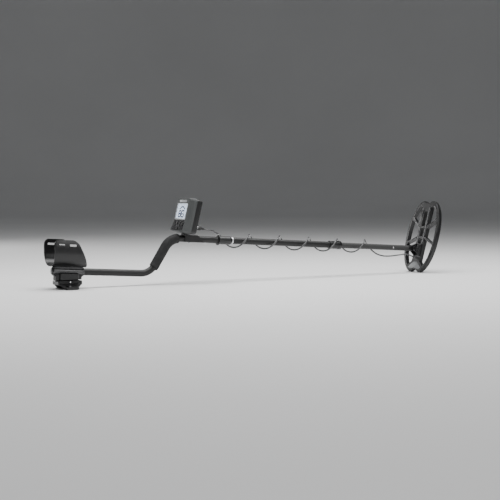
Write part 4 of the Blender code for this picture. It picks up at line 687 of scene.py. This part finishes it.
class DETECTOR_OT_box(bpy.types.Operator):
    """Finish the control box with its face, bezel and side ridges"""

    bl_idname = "detector.box"
    bl_label = "Control box"

    def execute(self, context):
        keep("face_shell", "box_grey", 0.0006)
        keep("back_shell", "moulded", 0.0006)
        keep("battery_door", "moulded", 0.0004)
        keep("box_bracket", "moulded", 0.0007)
        half, tall, centre = WINDOW
        low, high = centre - tall / 2.0, centre + tall / 2.0
        outline = rounded((-half - 0.0016, low - 0.0030), (half + 0.0016, high + 0.0016), 0.0035)
        bezel = make("display_bezel", prism(outline, -0.0008, -0.0001, "X"), BOX, "root", "strip_grey")
        outline = rounded((-half + 0.0004, low + 0.0004), (half - 0.0004, high - 0.0004), 0.003)
        carve(bezel, [prism(outline, -0.005, 0.005, "X")], BOX)
        strip = prism(rounded((-0.0240, 0.0981), (0.0260, 0.1057), 0.0015), -0.0005, -0.0001, "X")
        make("name_strip", strip, BOX, "root", "strip_grey", soft=0.0001)
        outline = [
            (side * (1.0 - KEYPAD_TAPER * height / KEYPAD_TOP), height)
            for side, height in rounded((-0.0365, -0.0350), (0.0365, -0.0008), 0.0050)
        ]
        pad = make("keypad_panel", prism(outline, -0.0005, -0.0001, "X"), KEYPAD, "root", "keypad")
        for name, side, height, tilt in KEYS:
            carve(pad, [prism(key_outline(name, 0.0006), -0.006, 0.006, "X")], key_place(side, height, tilt))
        for i, side in enumerate((-1.0, 1.0)):
            line = prism(bar(side * 0.0060, 0.0180, side * 0.0185, 0.0385, 0.0006), -0.0008, -0.0005, "X")
            make("fan_line_%d" % (i + 1), line, KEYPAD @ shift(z=-KEYPAD_TOP), "root", "strip_grey")
        for label, side in (("right", -1.0), ("left", 1.0)):
            deep, wide = CHAMFER[0] - FACE_EDGE[0], CHAMFER[1] - FACE_EDGE[1]
            slope = Vector((deep, side * wide)).normalized()
            out = Vector((-abs(slope.y), side * slope.x))
            for i in range(3):
                share = 0.25 + 0.25 * i
                foot = Vector((FACE_EDGE[0] + deep * share, side * (HALF_WIDTH - CHAMFER[1] + wide * share)))
                outline = [foot + slope * a + out * b for a, b in SIDE_RIDGE]
                ridge = prism(outline, KEYPAD_TOP + 0.003, 0.103)
                make("side_ridge_%s_%d" % (label, i + 1), ridge, BOX, "root", "box_grey")
        return {"FINISHED"}


class DETECTOR_OT_display(bpy.types.Operator):
    """Finish the lens and the display with its number and scale"""

    bl_idname = "detector.display"
    bl_label = "Display"

    def execute(self, context):
        keep("display_window", "lens")
        keep("display_panel", "display")
        marks = []
        bottom, middle, top = 0.0500, 0.0600, 0.0700
        for place, digit in enumerate(divmod(context.scene.detector_sizes.shown_number, 10)):
            left = 0.0200 - place * 0.0205
            right = left - 0.0155
            lines = {
                "a": (left, top, right, top), "b": (right, top, right, middle),
                "c": (right, middle, right, bottom), "d": (left, bottom, right, bottom),
                "e": (left, middle, left, bottom), "f": (left, top, left, middle),
                "g": (left, middle, right, middle),
            }
            marks += [bar(*lines[segment], 0.0040) for segment in SEGMENTS[digit]]
        for i in range(15):
            angle = math.radians(-49.0 + 7.0 * i)
            y, z = math.sin(angle), math.cos(angle)
            inner, outer, low = 0.0205, 0.0255, 0.0605
            marks.append(bar(y * inner, low + z * inner, y * outer, low + z * outer, 0.0017))
        for i in range(3):
            height = 0.0500 + 0.0040 * i
            marks.append(bar(-0.0285, height, -0.0315, height, 0.0022))
        form = bmesh.new()
        for outline in marks:
            shape = prism(outline, 0.0023, 0.0027, "X")
            spare = bpy.data.meshes.new("mark")
            shape.to_mesh(spare)
            shape.free()
            form.from_mesh(spare)
            bpy.data.meshes.remove(spare)
        make("display_marks", form, BOX, "root", "segment")
        return {"FINISHED"}


class DETECTOR_OT_keys(bpy.types.Operator):
    """Make the five keys"""

    bl_idname = "detector.keys"
    bl_label = "Keys"

    def execute(self, context):
        for name, side, height, tilt in KEYS:
            rings = [[(x, y * share, z * share) for y, z in key_outline(name)] for x, share in KEY_CROWN]
            place = key_place(side, height, tilt)
            make(name.replace("key_", "button_"), skin(rings), place, name, "rubber", name)
        return {"FINISHED"}


class DETECTOR_OT_inside(bpy.types.Operator):
    """Finish what sits inside the box, the tubes and the coil"""

    bl_idname = "detector.inside"
    bl_label = "Inside pieces"

    def execute(self, context):
        for finish, nodes in (
            ("board", ["circuit_board"]),
            ("moulded", ["speaker"]),
            ("nylon", ["upper_lock_bush", "lower_lock_bush"]),
            ("steel", ["upper_button_spring", "lower_button_spring"]),
            ("copper", ["transmit_winding", "receive_winding"]),
            ("cell", ["battery_%d" % (i + 1) for i in range(4)]),
        ):
            for node in nodes:
                keep(node, finish)
        return {"FINISHED"}


class DETECTOR_OT_fasteners(bpy.types.Operator):
    """Make the screws, socket, plug and nut of the control box"""

    bl_idname = "detector.fasteners"
    bl_label = "Screws and plug"

    def execute(self, context):
        seat = DEPTH + GAP
        screw = (
            (seat - 0.012, 0.0014), (seat, 0.0014), (seat, 0.0027), (seat + 0.0003, 0.0028),
            (seat + 0.0011, 0.0027), (seat + 0.0017, 0.0021), (seat + 0.0018, 0.0010),
            (seat + 0.0010, 0.0008),
        )
        places = [(side, height) for side in (-SCREW_SIDE, SCREW_SIDE) for height in SCREW_HEIGHTS]
        for i, (side, height) in enumerate(places, 1):
            place = BOX @ shift(0.0, side, height)
            make("box_screw_head_%d" % i, turned(screw, 40), place, "root", "steel", "box_screw_%d" % i)
        head = -TUBE_RADIUS - GAP
        screw = (
            (head - 0.0018, 0.0015), (head - 0.0030, 0.0018), (head - 0.0030, 0.0040),
            (head - 0.0022, 0.0051), (head, 0.0052), (head, 0.0021), (0.0090, 0.0021),
        )
        place = SHAFT @ shift(BRACKET_SCREW_X)
        make("bracket_screw_head", turned(screw, 48, axis="Z"), place, "root", "steel", "bracket_screw")
        place = BOX @ shift(DEPTH, *SOCKET_PLACE)
        socket = [
            (-0.0060, 0.0050), (GAP, 0.0050), (GAP, 0.0074),
            (0.0005, 0.0075), (0.0020, 0.0075), (0.0026, 0.0052),
        ]
        socket += [(0.0026 + 0.0006 * i, 0.0050 - 0.0002 * (i % 2)) for i in range(1, 9)]
        socket.append((SOCKET_LENGTH, 0.0048))
        make("socket_body", turned(socket, 48), place, "root", "steel", "cable_socket")
        start = SOCKET_LENGTH + GAP
        body = [(start, 0.0050), (start + 0.0120, 0.0050), (start + 0.0140, 0.0042)]
        for i in range(5):
            a = start + 0.0145 + 0.0018 * i
            body += [(a, 0.0041 - 0.0002 * i), (a + 0.0009, 0.0036 - 0.0002 * i)]
        body.append((start + PLUG_LENGTH, 0.0031))
        make("plug_sleeve", turned(body, 48), place, "root", "rubber", "plug_body")
        low = start + GAP
        rings = []
        for x, radius in ((0.0, 0.0076), (0.0004, 0.0078), (0.009, 0.0078), (0.010, 0.0068)):
            outline = [
                (y * (1.0 - 0.05 * (i % 2)), z * (1.0 - 0.05 * (i % 2)))
                for i, (y, z) in enumerate(circle(radius, 48))
            ]
            rings.append(ring_at(outline, low + x))
        rings += [ring_at(circle(0.0053, 48), low + x) for x in (0.010, 0.0)]
        make("plug_ring", skin(rings, True), place, "plug_nut", "moulded", "plug_nut")
        return {"FINISHED"}


# ================================================================ shaft
TUBE_ENDS = (0.110, 0.6455)
TUBE_BORE = 0.0102
STOP_RING_X = 0.2245
ROD_ENDS = (0.448, 0.962)
ROD_RADIUS = 0.0099
ROD_BORE = 0.0087
SPIGOT_BORE = 0.0082
UPPER_SNAP = 0.1295
LOWER_SNAP = 0.466
HOLE_SPACING = 0.0635
RIVET_X = PIVOT_X - 0.098
COLLAR_LENGTH = 0.048
COLLAR_RADIUS = 0.0138
COLLAR_BORE = 0.0125

# Each collar's name, its rear end, and the radii of its front bore, its rim and its front band
COLLARS = (
    ("upper", 0.174, TUBE_RADIUS, 0.0172, 0.0138),
    ("lower", 0.6167, ROD_RADIUS, 0.0142, 0.0150),
)


def ribbed(radius, depth=0.0006, ribs=12, sides=144):
    """A circle with narrow grooves."""
    outline = []
    for i in range(sides):
        angle = math.tau * i / sides
        r = radius - depth * (0.5 - 0.5 * math.cos(angle * ribs)) ** 3
        outline.append((r * math.cos(angle), r * math.sin(angle)))
    return outline


def drill_snap_hole(tube, x):
    hole = turned(((-0.015, 0.0035), (-0.004, 0.0035)), 40, axis="Z")
    carve(tube, [hole], SHAFT @ shift(x))


class DETECTOR_OT_shaft(bpy.types.Operator):
    """Make the middle tube, lower rod, snap buttons and stop ring"""

    bl_idname = "detector.shaft"
    bl_label = "Telescoping shaft"

    def execute(self, context):
        spigot, shoulder = STEM_BORE - GAP, STEM_FRONT + GAP
        rear, front = TUBE_ENDS
        outline = (
            (rear, spigot), (shoulder, spigot), (shoulder, TUBE_RADIUS), (front, TUBE_RADIUS),
            (front, TUBE_BORE), (shoulder + 0.006, TUBE_BORE), (shoulder + 0.002, SPIGOT_BORE),
            (rear, SPIGOT_BORE),
        )
        tube = raw("middle_shaft", turned(outline, 96, True), SHAFT)
        drill_snap_hole(tube, UPPER_SNAP)
        for i in range(4):
            drill_snap_hole(tube, LOWER_SNAP - HOLE_SPACING * i)
        dress(tube, "middle_tube", "satin_tube", "middle_tube")
        rear, front = ROD_ENDS
        outline = ((rear, ROD_RADIUS), (front, ROD_RADIUS), (front, ROD_BORE), (rear, ROD_BORE))
        rod = raw("fibre_rod", turned(outline, 96, True), SHAFT)
        drill_snap_hole(rod, LOWER_SNAP)
        dress(rod, "lower_rod", "rod_fibre", "lower_rod")
        ring = (
            (0.0, 0.0117), (0.0005, 0.0122), (0.0045, 0.0122),
            (0.0050, 0.0117), (0.0050, 0.0113), (0.0, 0.0113),
        )
        place = SHAFT @ shift(STOP_RING_X)
        make("stop_ring", turned(ring, 72, True), place, "middle_tube", "steel", "tube_stop_ring")
        for label, x, bore in (("upper", UPPER_SNAP, SPIGOT_BORE), ("lower", LOWER_SNAP, ROD_BORE)):
            pin = (
                (-0.0140, 0.0004), (-0.0139, 0.0014), (-0.0135, 0.0023), (-0.0130, 0.0029),
                (-0.0124, 0.0032), (-bore + 0.0012, 0.0032),
            )
            make(
                label + "_button_pin", turned(pin, 40, axis="Z"), SHAFT @ shift(x), label + "_button",
                "steel", label + "_snap_button",
            )
        return {"FINISHED"}


class DETECTOR_OT_collars(bpy.types.Operator):
    """Make the two lock collars"""

    bl_idname = "detector.collars"
    bl_label = "Lock collars"

    def execute(self, context):
        for label, x, front, rim, band in COLLARS:
            rear_levels = (
                (0.0, rim - 0.0006), (0.0003, rim - 0.0001), (0.0008, rim), (0.0016, rim),
                (0.0021, rim - 0.0003), (0.0026, COLLAR_RADIUS + 0.0006),
            )
            end = COLLAR_LENGTH
            front_levels = (
                (0.0352, COLLAR_RADIUS - 0.0003), (0.0360, band - 0.0003), (0.0364, band), (0.0468, band),
                (0.0476, band - 0.0003), (end, band - 0.0008), (end, front + GAP),
                (end - 0.002, front + GAP), (end - 0.002, COLLAR_BORE), (0.002, COLLAR_BORE),
                (0.002, TUBE_RADIUS + GAP), (0.0, TUBE_RADIUS + GAP),
            )
            rings = [ring_at(circle(radius, 144), along) for along, radius in rear_levels]
            ribs = ribbed(COLLAR_RADIUS)
            rings += [ring_at(ribs, along) for along in (0.0032, 0.0060, 0.0150, 0.0250, 0.0340)]
            rings += [ring_at(circle(radius, 144), along) for along, radius in front_levels]
            make(
                label + "_collar_shell", skin(rings, True), SHAFT @ shift(x), label + "_collar",
                "moulded", label + "_lock_collar",
            )
        return {"FINISHED"}


class DETECTOR_OT_pivot(bpy.types.Operator):
    """Finish the rod end and the coil's pivot"""

    bl_idname = "detector.pivot"
    bl_label = "Coil pivot"

    def execute(self, context):
        keep("rod_end", "moulded", 0.0003)
        keep("friction_washer_left", "rubber")
        keep("friction_washer_right", "rubber")
        keep("pivot_bolt", "moulded", 0.0003)
        keep("pivot_knob", "moulded", 0.0005)
        seat = ROD_RADIUS + GAP
        rivet = (
            (-seat - 0.0013, 0.0006), (-seat - 0.0011, 0.0018), (-seat - 0.0005, 0.0028), (-seat, 0.0030),
            (-seat, 0.0015), (seat - 0.002, 0.0015),
        )
        place = SHAFT @ shift(RIVET_X)
        make("rod_rivet", turned(rivet, 40, axis="Y"), place, "lower_rod", "steel", "rod_end_rivet")
        return {"FINISHED"}


# ================================================================ coil
COIL_LENGTH = 0.280
COIL_WIDTH = 0.172
COIL_FULLNESS = 2.25
COIL_MIDDLE = COIL_LENGTH / 2.0 - 0.088
COIL_TOP = -0.022
NOTCH = (0.0160, 0.0180)
RIM_WIDTH = 0.0115
BAR_INNER = 0.0095
BAR_OUTER = 0.0215
STRUT_HALF_WIDTH = 0.0038
TOE_STRUT = (0.086, 0.122)
HEEL_STRUT = (0.047, 0.022)
TOE = COIL_LENGTH - 0.088
STRIP_START = 0.0935
STRIP_END = TOE - 0.040
STRIP_OUTER = 0.0330
GLAND_PLACE = (-0.0325, -0.0225)

# Half sections on the coil's top, as pairs of place outwards from the middle line and height
STRUT_RIDGE = ((0.0011, -0.0006), (0.0011, 0.0002), (0.0004, 0.0014))
BAR_CROWN = ((0.0034, -0.0004), (0.0030, 0.0004), (0.0016, 0.0010))
WINDOW_LIP = (
    (0.0001, -0.0010), (0.0001, 0.0004), (0.0003, 0.0008),
    (0.0010, 0.0008), (0.0013, 0.0004), (0.0013, -0.0010),
)


def coil_point(angle, inset=0.0):
    """A point of the coil's outline, from the toe round the left side."""
    power = 2.0 / COIL_FULLNESS
    along = math.copysign(abs(math.cos(angle)) ** power, math.cos(angle))
    aside = math.copysign(abs(math.sin(angle)) ** power, math.sin(angle))
    x = (COIL_LENGTH / 2.0 - inset) * along
    y = (COIL_WIDTH / 2.0 - inset) * aside
    notch = NOTCH[0] * math.exp(-((y / NOTCH[1]) ** 2))
    return COIL_MIDDLE + x - math.copysign(notch, along), y


def rim_angle(x):
    share = (x - COIL_MIDDLE) / (COIL_LENGTH / 2.0)
    return math.acos(math.copysign(abs(share) ** (COIL_FULLNESS / 2.0), share))


def rim_side(x):
    """How far the rim's inner edge lies from the middle, at the place x along the coil."""
    return coil_point(rim_angle(x), RIM_WIDTH)[1]


def rim_run(toe, heel, steps=6):
    start, end = rim_angle(toe), rim_angle(heel)
    return [coil_point(start + (end - start) * i / steps, RIM_WIDTH) for i in range(steps + 1)]


def coil_openings():
    """The outlines of the six windows and the three slots."""
    half = STRUT_HALF_WIDTH
    toe = [(TOE_STRUT[0] + half + 0.001, BAR_OUTER), (TOE - 0.032, BAR_OUTER)]
    toe += rim_run(TOE - 0.015, TOE_STRUT[1] + half)
    middle = [(HEEL_STRUT[0] + half, BAR_OUTER), (TOE_STRUT[0] - half, BAR_OUTER)]
    middle += rim_run(TOE_STRUT[1] - half, HEEL_STRUT[1] + half)
    heel = [(-0.041, BAR_OUTER), (HEEL_STRUT[0] - half, BAR_OUTER)]
    heel += rim_run(HEEL_STRUT[1] - half, -0.070)
    windows = [toe, middle, heel]
    windows += [[(x, -y) for x, y in reversed(outline)] for outline in windows]
    spans = (
        (TOE_STRUT[0] + half, TOE - 0.046),
        (HEEL_STRUT[0] + half, TOE_STRUT[0] - half),
        (0.024, HEEL_STRUT[0] - half),
    )
    return windows + [rounded((low, -BAR_INNER), (high, BAR_INNER), 0.004, 2) for low, high in spans]


def widened(outline, amount):
    """An outline moved outwards by the amount, along the middle line of each corner."""
    area = sum(a[0] * b[1] - b[0] * a[1] for a, b in zip(outline, outline[1:] + outline[:1]))
    turn = 1.0 if area > 0.0 else -1.0
    points = [Vector(point) for point in outline]
    moved = []
    for i, point in enumerate(points):
        before, after = point - points[i - 1], points[(i + 1) % len(points)] - point
        one = Vector((before.y, -before.x)).normalized() * turn
        two = Vector((after.y, -after.x)).normalized() * turn
        middle = (one + two).normalized()
        moved.append(point + middle * (amount / max(middle.dot(one), 0.5)))
    return moved


def band(outline, section):
    """A closed band round an outline on the coil's top."""
    return skin([ring_at(widened(outline, out), COIL_TOP + up, "Z") for out, up in section], True)


def crown(foot, head, half_section, side=1.0):
    """A low ridge on the coil's top between two points, mirrored to the right when side is -1."""
    section = (*half_section, *((-a, up) for a, up in reversed(half_section)))
    aside = Vector((foot[1] - head[1], head[0] - foot[0])).normalized()
    return skin([
        [(x + aside.x * a, side * (y + aside.y * a), COIL_TOP + up) for a, up in section]
        for x, y in (foot, head)
    ])


class DETECTOR_OT_coil(bpy.types.Operator):
    """Finish the search coil and its gland"""

    bl_idname = "detector.coil"
    bl_label = "Search coil"

    def execute(self, context):
        keep("coil_housing", "coil", 0.0007)
        keep("coil_cover", "coil", 0.0005)
        for i, outline in enumerate(coil_openings(), 1):
            make("window_lip_%d" % i, band(outline, WINDOW_LIP), COIL, "coil", "gloss_edge")
        for i, (bar_x, rim_x) in enumerate((TOE_STRUT, HEEL_STRUT), 1):
            foot, head = (bar_x, BAR_OUTER + 0.0025), (rim_x, rim_side(rim_x) - 0.0020)
            for label, side in (("right", -1.0), ("left", 1.0)):
                ridge = crown(foot, head, STRUT_RIDGE, side)
                make("strut_ridge_%d_%s" % (i, label), ridge, COIL, "coil", "gloss_edge")
        middle = (BAR_INNER + BAR_OUTER) / 2.0
        for label, side, end in (("left", 1.0, 0.0885), ("right", -1.0, TOE - 0.0300)):
            ridge = crown((0.0270, middle), (end, middle), BAR_CROWN, side)
            make("bar_crown_" + label, ridge, COIL, "coil", "gloss_edge")
        half = [(-0.070, 0.012), (-0.071, 0.028), (-0.0655, 0.036), (-0.052, 0.020), (-0.044, 0.008)]
        outline = [(-0.0665, 0.0), *half, *((x, -y) for x, y in reversed(half))]
        shield = prism(outline, COIL_TOP - 0.0003, COIL_TOP + 0.0005)
        make("heel_shield", shield, COIL, "coil", "shield_grey", soft=0.0002)
        edge = band(outline, ((0.0, -0.0004), (0.0, 0.0009), (0.0012, 0.0009), (0.0012, -0.0004)))
        make("heel_shield_edge", edge, COIL, "coil", "coil")
        start, end, outer = STRIP_START + 0.0018, STRIP_END - 0.0015, STRIP_OUTER - 0.0018
        outline = (
            (0.090, 0.0112), (end, 0.0112), (end, outer), (start, outer), (start, 0.020), (0.090, 0.020),
        )
        strip = prism(outline, COIL_TOP - 0.0003, COIL_TOP + 0.0003)
        make("bare_strip", strip, COIL, "coil", "moulded", soft=0.0001)
        gland = [(GAP, 0.0065), (0.0040, 0.0065), (0.0048, 0.0060), (0.0055, 0.0053), (0.0085, 0.0057)]
        gland += [(0.0095 + 0.0018 * i, radius) for i, radius in enumerate((0.0050, 0.0044, 0.0046, 0.0040))]
        gland.append((0.018, 0.0033))
        place = COIL @ shift(*GLAND_PLACE, COIL_TOP)
        make("cable_gland", turned(gland, 48, axis="Z"), place, "coil", "rubber", "coil_gland")
        return {"FINISHED"}


# ================================================================ cable
HELIX_RADIUS = 0.0225
HELIX_PITCH = 0.119
HELIX_START = 0.176
HELIX_TURNS = 5
HELIX_STEPS = 12
COLLAR_DIP = 0.0020
COLLAR_DIP_REACH = 0.025

# Where the cable passes from one body's stretch to the next
CABLE_BREAKS = (0.400, 0.790)
PLUG_LEAD = 0.014
GLAND_LEAD = (0.034, 0.0183)
LEAD_ROUTE = ((0.1420, -0.0240, 0.0300), (0.1600, -0.0125, 0.0240))
TAIL_ROUTE = (
    (0.8010, 0.0225, 0.0010), (0.8300, 0.0130, -0.0235), (0.8580, 0.0010, -0.0320),
    (0.8900, -0.0090, -0.0300), (0.9200, -0.0170, -0.0245), (0.9430, -0.0215, -0.0215),
)


def helix_point(x):
    """A point of the cable's winding, which draws in a little over each collar."""
    radius = HELIX_RADIUS
    for collar in COLLARS:
        middle = collar[1] + COLLAR_LENGTH / 2.0
        radius -= COLLAR_DIP * math.exp(-(((x - middle) / COLLAR_DIP_REACH) ** 2))
    angle = math.tau * (x - HELIX_START) / HELIX_PITCH
    return Vector((x, radius * math.sin(angle), radius * math.cos(angle)))


def cable_route():
    """The cable's own points, from the plug to the coil's gland, in the shaft's frame."""
    lean_angle = math.radians(BOX_LEAN)
    back = Vector((math.cos(lean_angle), 0.0, -math.sin(lean_angle)))
    up = Vector((math.sin(lean_angle), 0.0, math.cos(lean_angle)))
    side, height = SOCKET_PLACE
    depth = DEPTH + SOCKET_LENGTH + PLUG_LENGTH + 2.0 * GAP
    start = Vector(BOX_PLACE) + back * depth + up * height + Vector((0.0, side, 0.0))
    route = [start, start + back * PLUG_LEAD]
    route += [Vector(point) for point in LEAD_ROUTE]
    steps = HELIX_TURNS * HELIX_STEPS
    route += [helix_point(HELIX_START + HELIX_PITCH * i / HELIX_STEPS) for i in range(steps + 1)]
    route += [Vector(point) for point in TAIL_ROUTE]
    raise_angle = math.radians(COIL_RAISE)
    along, side = GLAND_PLACE
    for height in GLAND_LEAD:
        level = COIL_TOP + height
        route.append(Vector((
            PIVOT_X + along * math.cos(raise_angle) - level * math.sin(raise_angle), side,
            along * math.sin(raise_angle) + level * math.cos(raise_angle),
        )))
    return route


def smooth_curve(route, steps=6):
    """Points of a smooth curve through the route."""
    curve = []
    for i in range(len(route) - 1):
        a, b = route[max(i - 1, 0)], route[i]
        c, d = route[i + 1], route[min(i + 2, len(route) - 1)]
        for j in range(steps):
            t = j / steps
            curve.append(
                b + (c - a) * (0.5 * t) + (a - b * 2.5 + c * 2.0 - d * 0.5) * t**2
                + (b * 1.5 - a * 0.5 - c * 1.5 + d * 0.5) * t**3
            )
    return curve + [route[-1]]


def tube_along(points, radius, sides=20):
    """A capped tube along points, whose section is carried on without a twist."""
    across = Vector((0.0, 0.0, 1.0))
    rings = []
    for i, point in enumerate(points):
        along = (points[min(i + 1, len(points) - 1)] - points[max(i - 1, 0)]).normalized()
        across = (across - along * across.dot(along)).normalized()
        other = along.cross(across)
        rings.append([point + across * a + other * b for a, b in circle(radius, sides)])
    return skin(rings)


class DETECTOR_OT_cable(bpy.types.Operator):
    """Wind the coil's cable round the shaft"""

    bl_idname = "detector.cable"
    bl_label = "Cable"

    def execute(self, context):
        radius = context.scene.detector_sizes.cable_radius
        curve = [SHAFT @ point for point in smooth_curve(cable_route())]
        along = [(SHAFT.inverted() @ point).x for point in curve]
        cuts = [0]
        for at in CABLE_BREAKS:
            cuts.append(next(i for i in range(cuts[-1] + 1, len(curve)) if along[i] > at))
        cuts.append(len(curve) - 1)
        for i, label in enumerate(("upper", "middle", "lower")):
            points = curve[cuts[i]:cuts[i + 1] + 1]
            cable = raw("cable_%s_run" % label, tube_along(points, radius), Matrix.Identity(4))
            cable.data.materials.append(material("cable"))
            cable.data.shade_smooth()
            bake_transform(cable)
            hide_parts("cable_" + label)
        return {"FINISHED"}


# ================================================================ stage
FLOOR_SIDES = 96
CAMERA_PLACE = (-1.9702, -3.354, 0.3211)
CAMERA_DROP = math.radians(3.247)
CAMERA_TURN = math.radians(-30.0)
LENS = 83.14


def area_light(name, place, target, size, power):
    data = bpy.data.lights.new(name, "AREA")
    data.shape = "RECTANGLE"
    data.size, data.size_y = size
    data.energy = power
    light = bpy.data.objects.new(name, data)
    light.location = place
    light.rotation_mode = "QUATERNION"
    light.rotation_quaternion = (Vector(target) - Vector(place)).to_track_quat("-Z", "Y")
    bpy.context.scene.collection.objects.link(light)


class DETECTOR_OT_stage(bpy.types.Operator):
    """Set the floor, the lights and the camera"""

    bl_idname = "detector.stage"
    bl_label = "Floor, lights and camera"

    def execute(self, context):
        form = bmesh.new()
        loops = []
        for radius, z in ((8.0, 0.0), (9.0, 0.12), (9.9, 0.5), (10.6, 1.2), (11.0, 2.4), (11.0, 6.0)):
            ring = ring_at(circle(radius, FLOOR_SIDES), z, "Z")
            loops.append([form.verts.new(point) for point in ring])
        form.faces.new(loops[0])
        for one, two in zip(loops, loops[1:]):
            for i in range(FLOOR_SIDES):
                j = (i + 1) % FLOOR_SIDES
                form.faces.new((one[i], one[j], two[j], two[i]))
        floor = raw("studio_floor", form, Matrix.Identity(4))
        made, tree, shader = shader_of("studio_paper")
        place = tree.nodes.new("ShaderNodeTexCoord")
        shade = tones(tree, noise(tree, place, 0.8), (0.78, 0.78, 0.78), (0.82, 0.82, 0.82))
        link(tree, shade, "Color", shader, "Base Color")
        shader.inputs["Roughness"].default_value = 0.75
        floor.data.materials.append(made)
        floor.data.shade_smooth()
        area_light("top_light", (0.1, 0.0, 2.0), (0.1, 0.0, 0.0), (3.0, 1.7), 105.0)
        area_light("coil_light", (-0.78, 2.76, 0.78), (0.6, 0.0, 0.15), (0.6, 0.9), 11.0)
        area_light("front_light", (-2.1, -4.1, 0.90), (-0.3, 0.0, 0.2), (1.0, 0.7), 24.0)
        area_light("side_light", (1.1, -3.0, 1.60), (-0.6, 0.0, 0.1), (1.3, 1.1), 20.0)
        world = bpy.data.worlds.new("studio_world")
        world.use_nodes = True
        background = world.node_tree.nodes["Background"]
        background.inputs["Color"].default_value = (0.86, 0.88, 0.90, 1.0)
        background.inputs["Strength"].default_value = 0.15
        context.scene.world = world
        data = bpy.data.cameras.new("camera")
        data.lens = LENS
        data.sensor_width = 36.0
        camera = bpy.data.objects.new("camera", data)
        camera.location = CAMERA_PLACE
        camera.rotation_euler = (math.pi / 2.0 - CAMERA_DROP, 0.0, CAMERA_TURN)
        context.scene.collection.objects.link(camera)
        context.scene.camera = camera
        return {"FINISHED"}


STEPS = (
    "stage", "stem", "grip", "cuff", "stand", "box", "display", "keys",
    "inside", "fasteners", "cable", "shaft", "collars", "pivot", "coil",
)


class DETECTOR_PT_panel(bpy.types.Panel):
    """Lists the steps that build the detector"""

    bl_idname = "DETECTOR_PT_panel"
    bl_label = "Metal detector"
    bl_space_type = "VIEW_3D"
    bl_region_type = "UI"
    bl_category = "Detector"

    def draw(self, context):
        for step in STEPS:
            self.layout.operator("detector." + step)
        for group in (context.scene.detector_sizes, context.scene.detector_colours):
            for name in group.__annotations__:
                self.layout.prop(group, name)


CLASSES = (
    DetectorColours, DetectorSizes,
    DETECTOR_OT_stage, DETECTOR_OT_stem, DETECTOR_OT_grip, DETECTOR_OT_cuff, DETECTOR_OT_stand,
    DETECTOR_OT_box, DETECTOR_OT_display, DETECTOR_OT_keys, DETECTOR_OT_inside, DETECTOR_OT_fasteners,
    DETECTOR_OT_cable, DETECTOR_OT_shaft, DETECTOR_OT_collars, DETECTOR_OT_pivot, DETECTOR_OT_coil,
    DETECTOR_PT_panel,
)


def register():
    for item in CLASSES:
        bpy.utils.register_class(item)
    bpy.types.Scene.detector_sizes = PointerProperty(type=DetectorSizes)
    bpy.types.Scene.detector_colours = PointerProperty(type=DetectorColours)


def unregister():
    del bpy.types.Scene.detector_colours
    del bpy.types.Scene.detector_sizes
    for item in reversed(CLASSES):
        bpy.utils.unregister_class(item)


def main():
    register()
    for step in STEPS:
        getattr(bpy.ops.detector, step)()


if __name__ == "__main__":
    main()
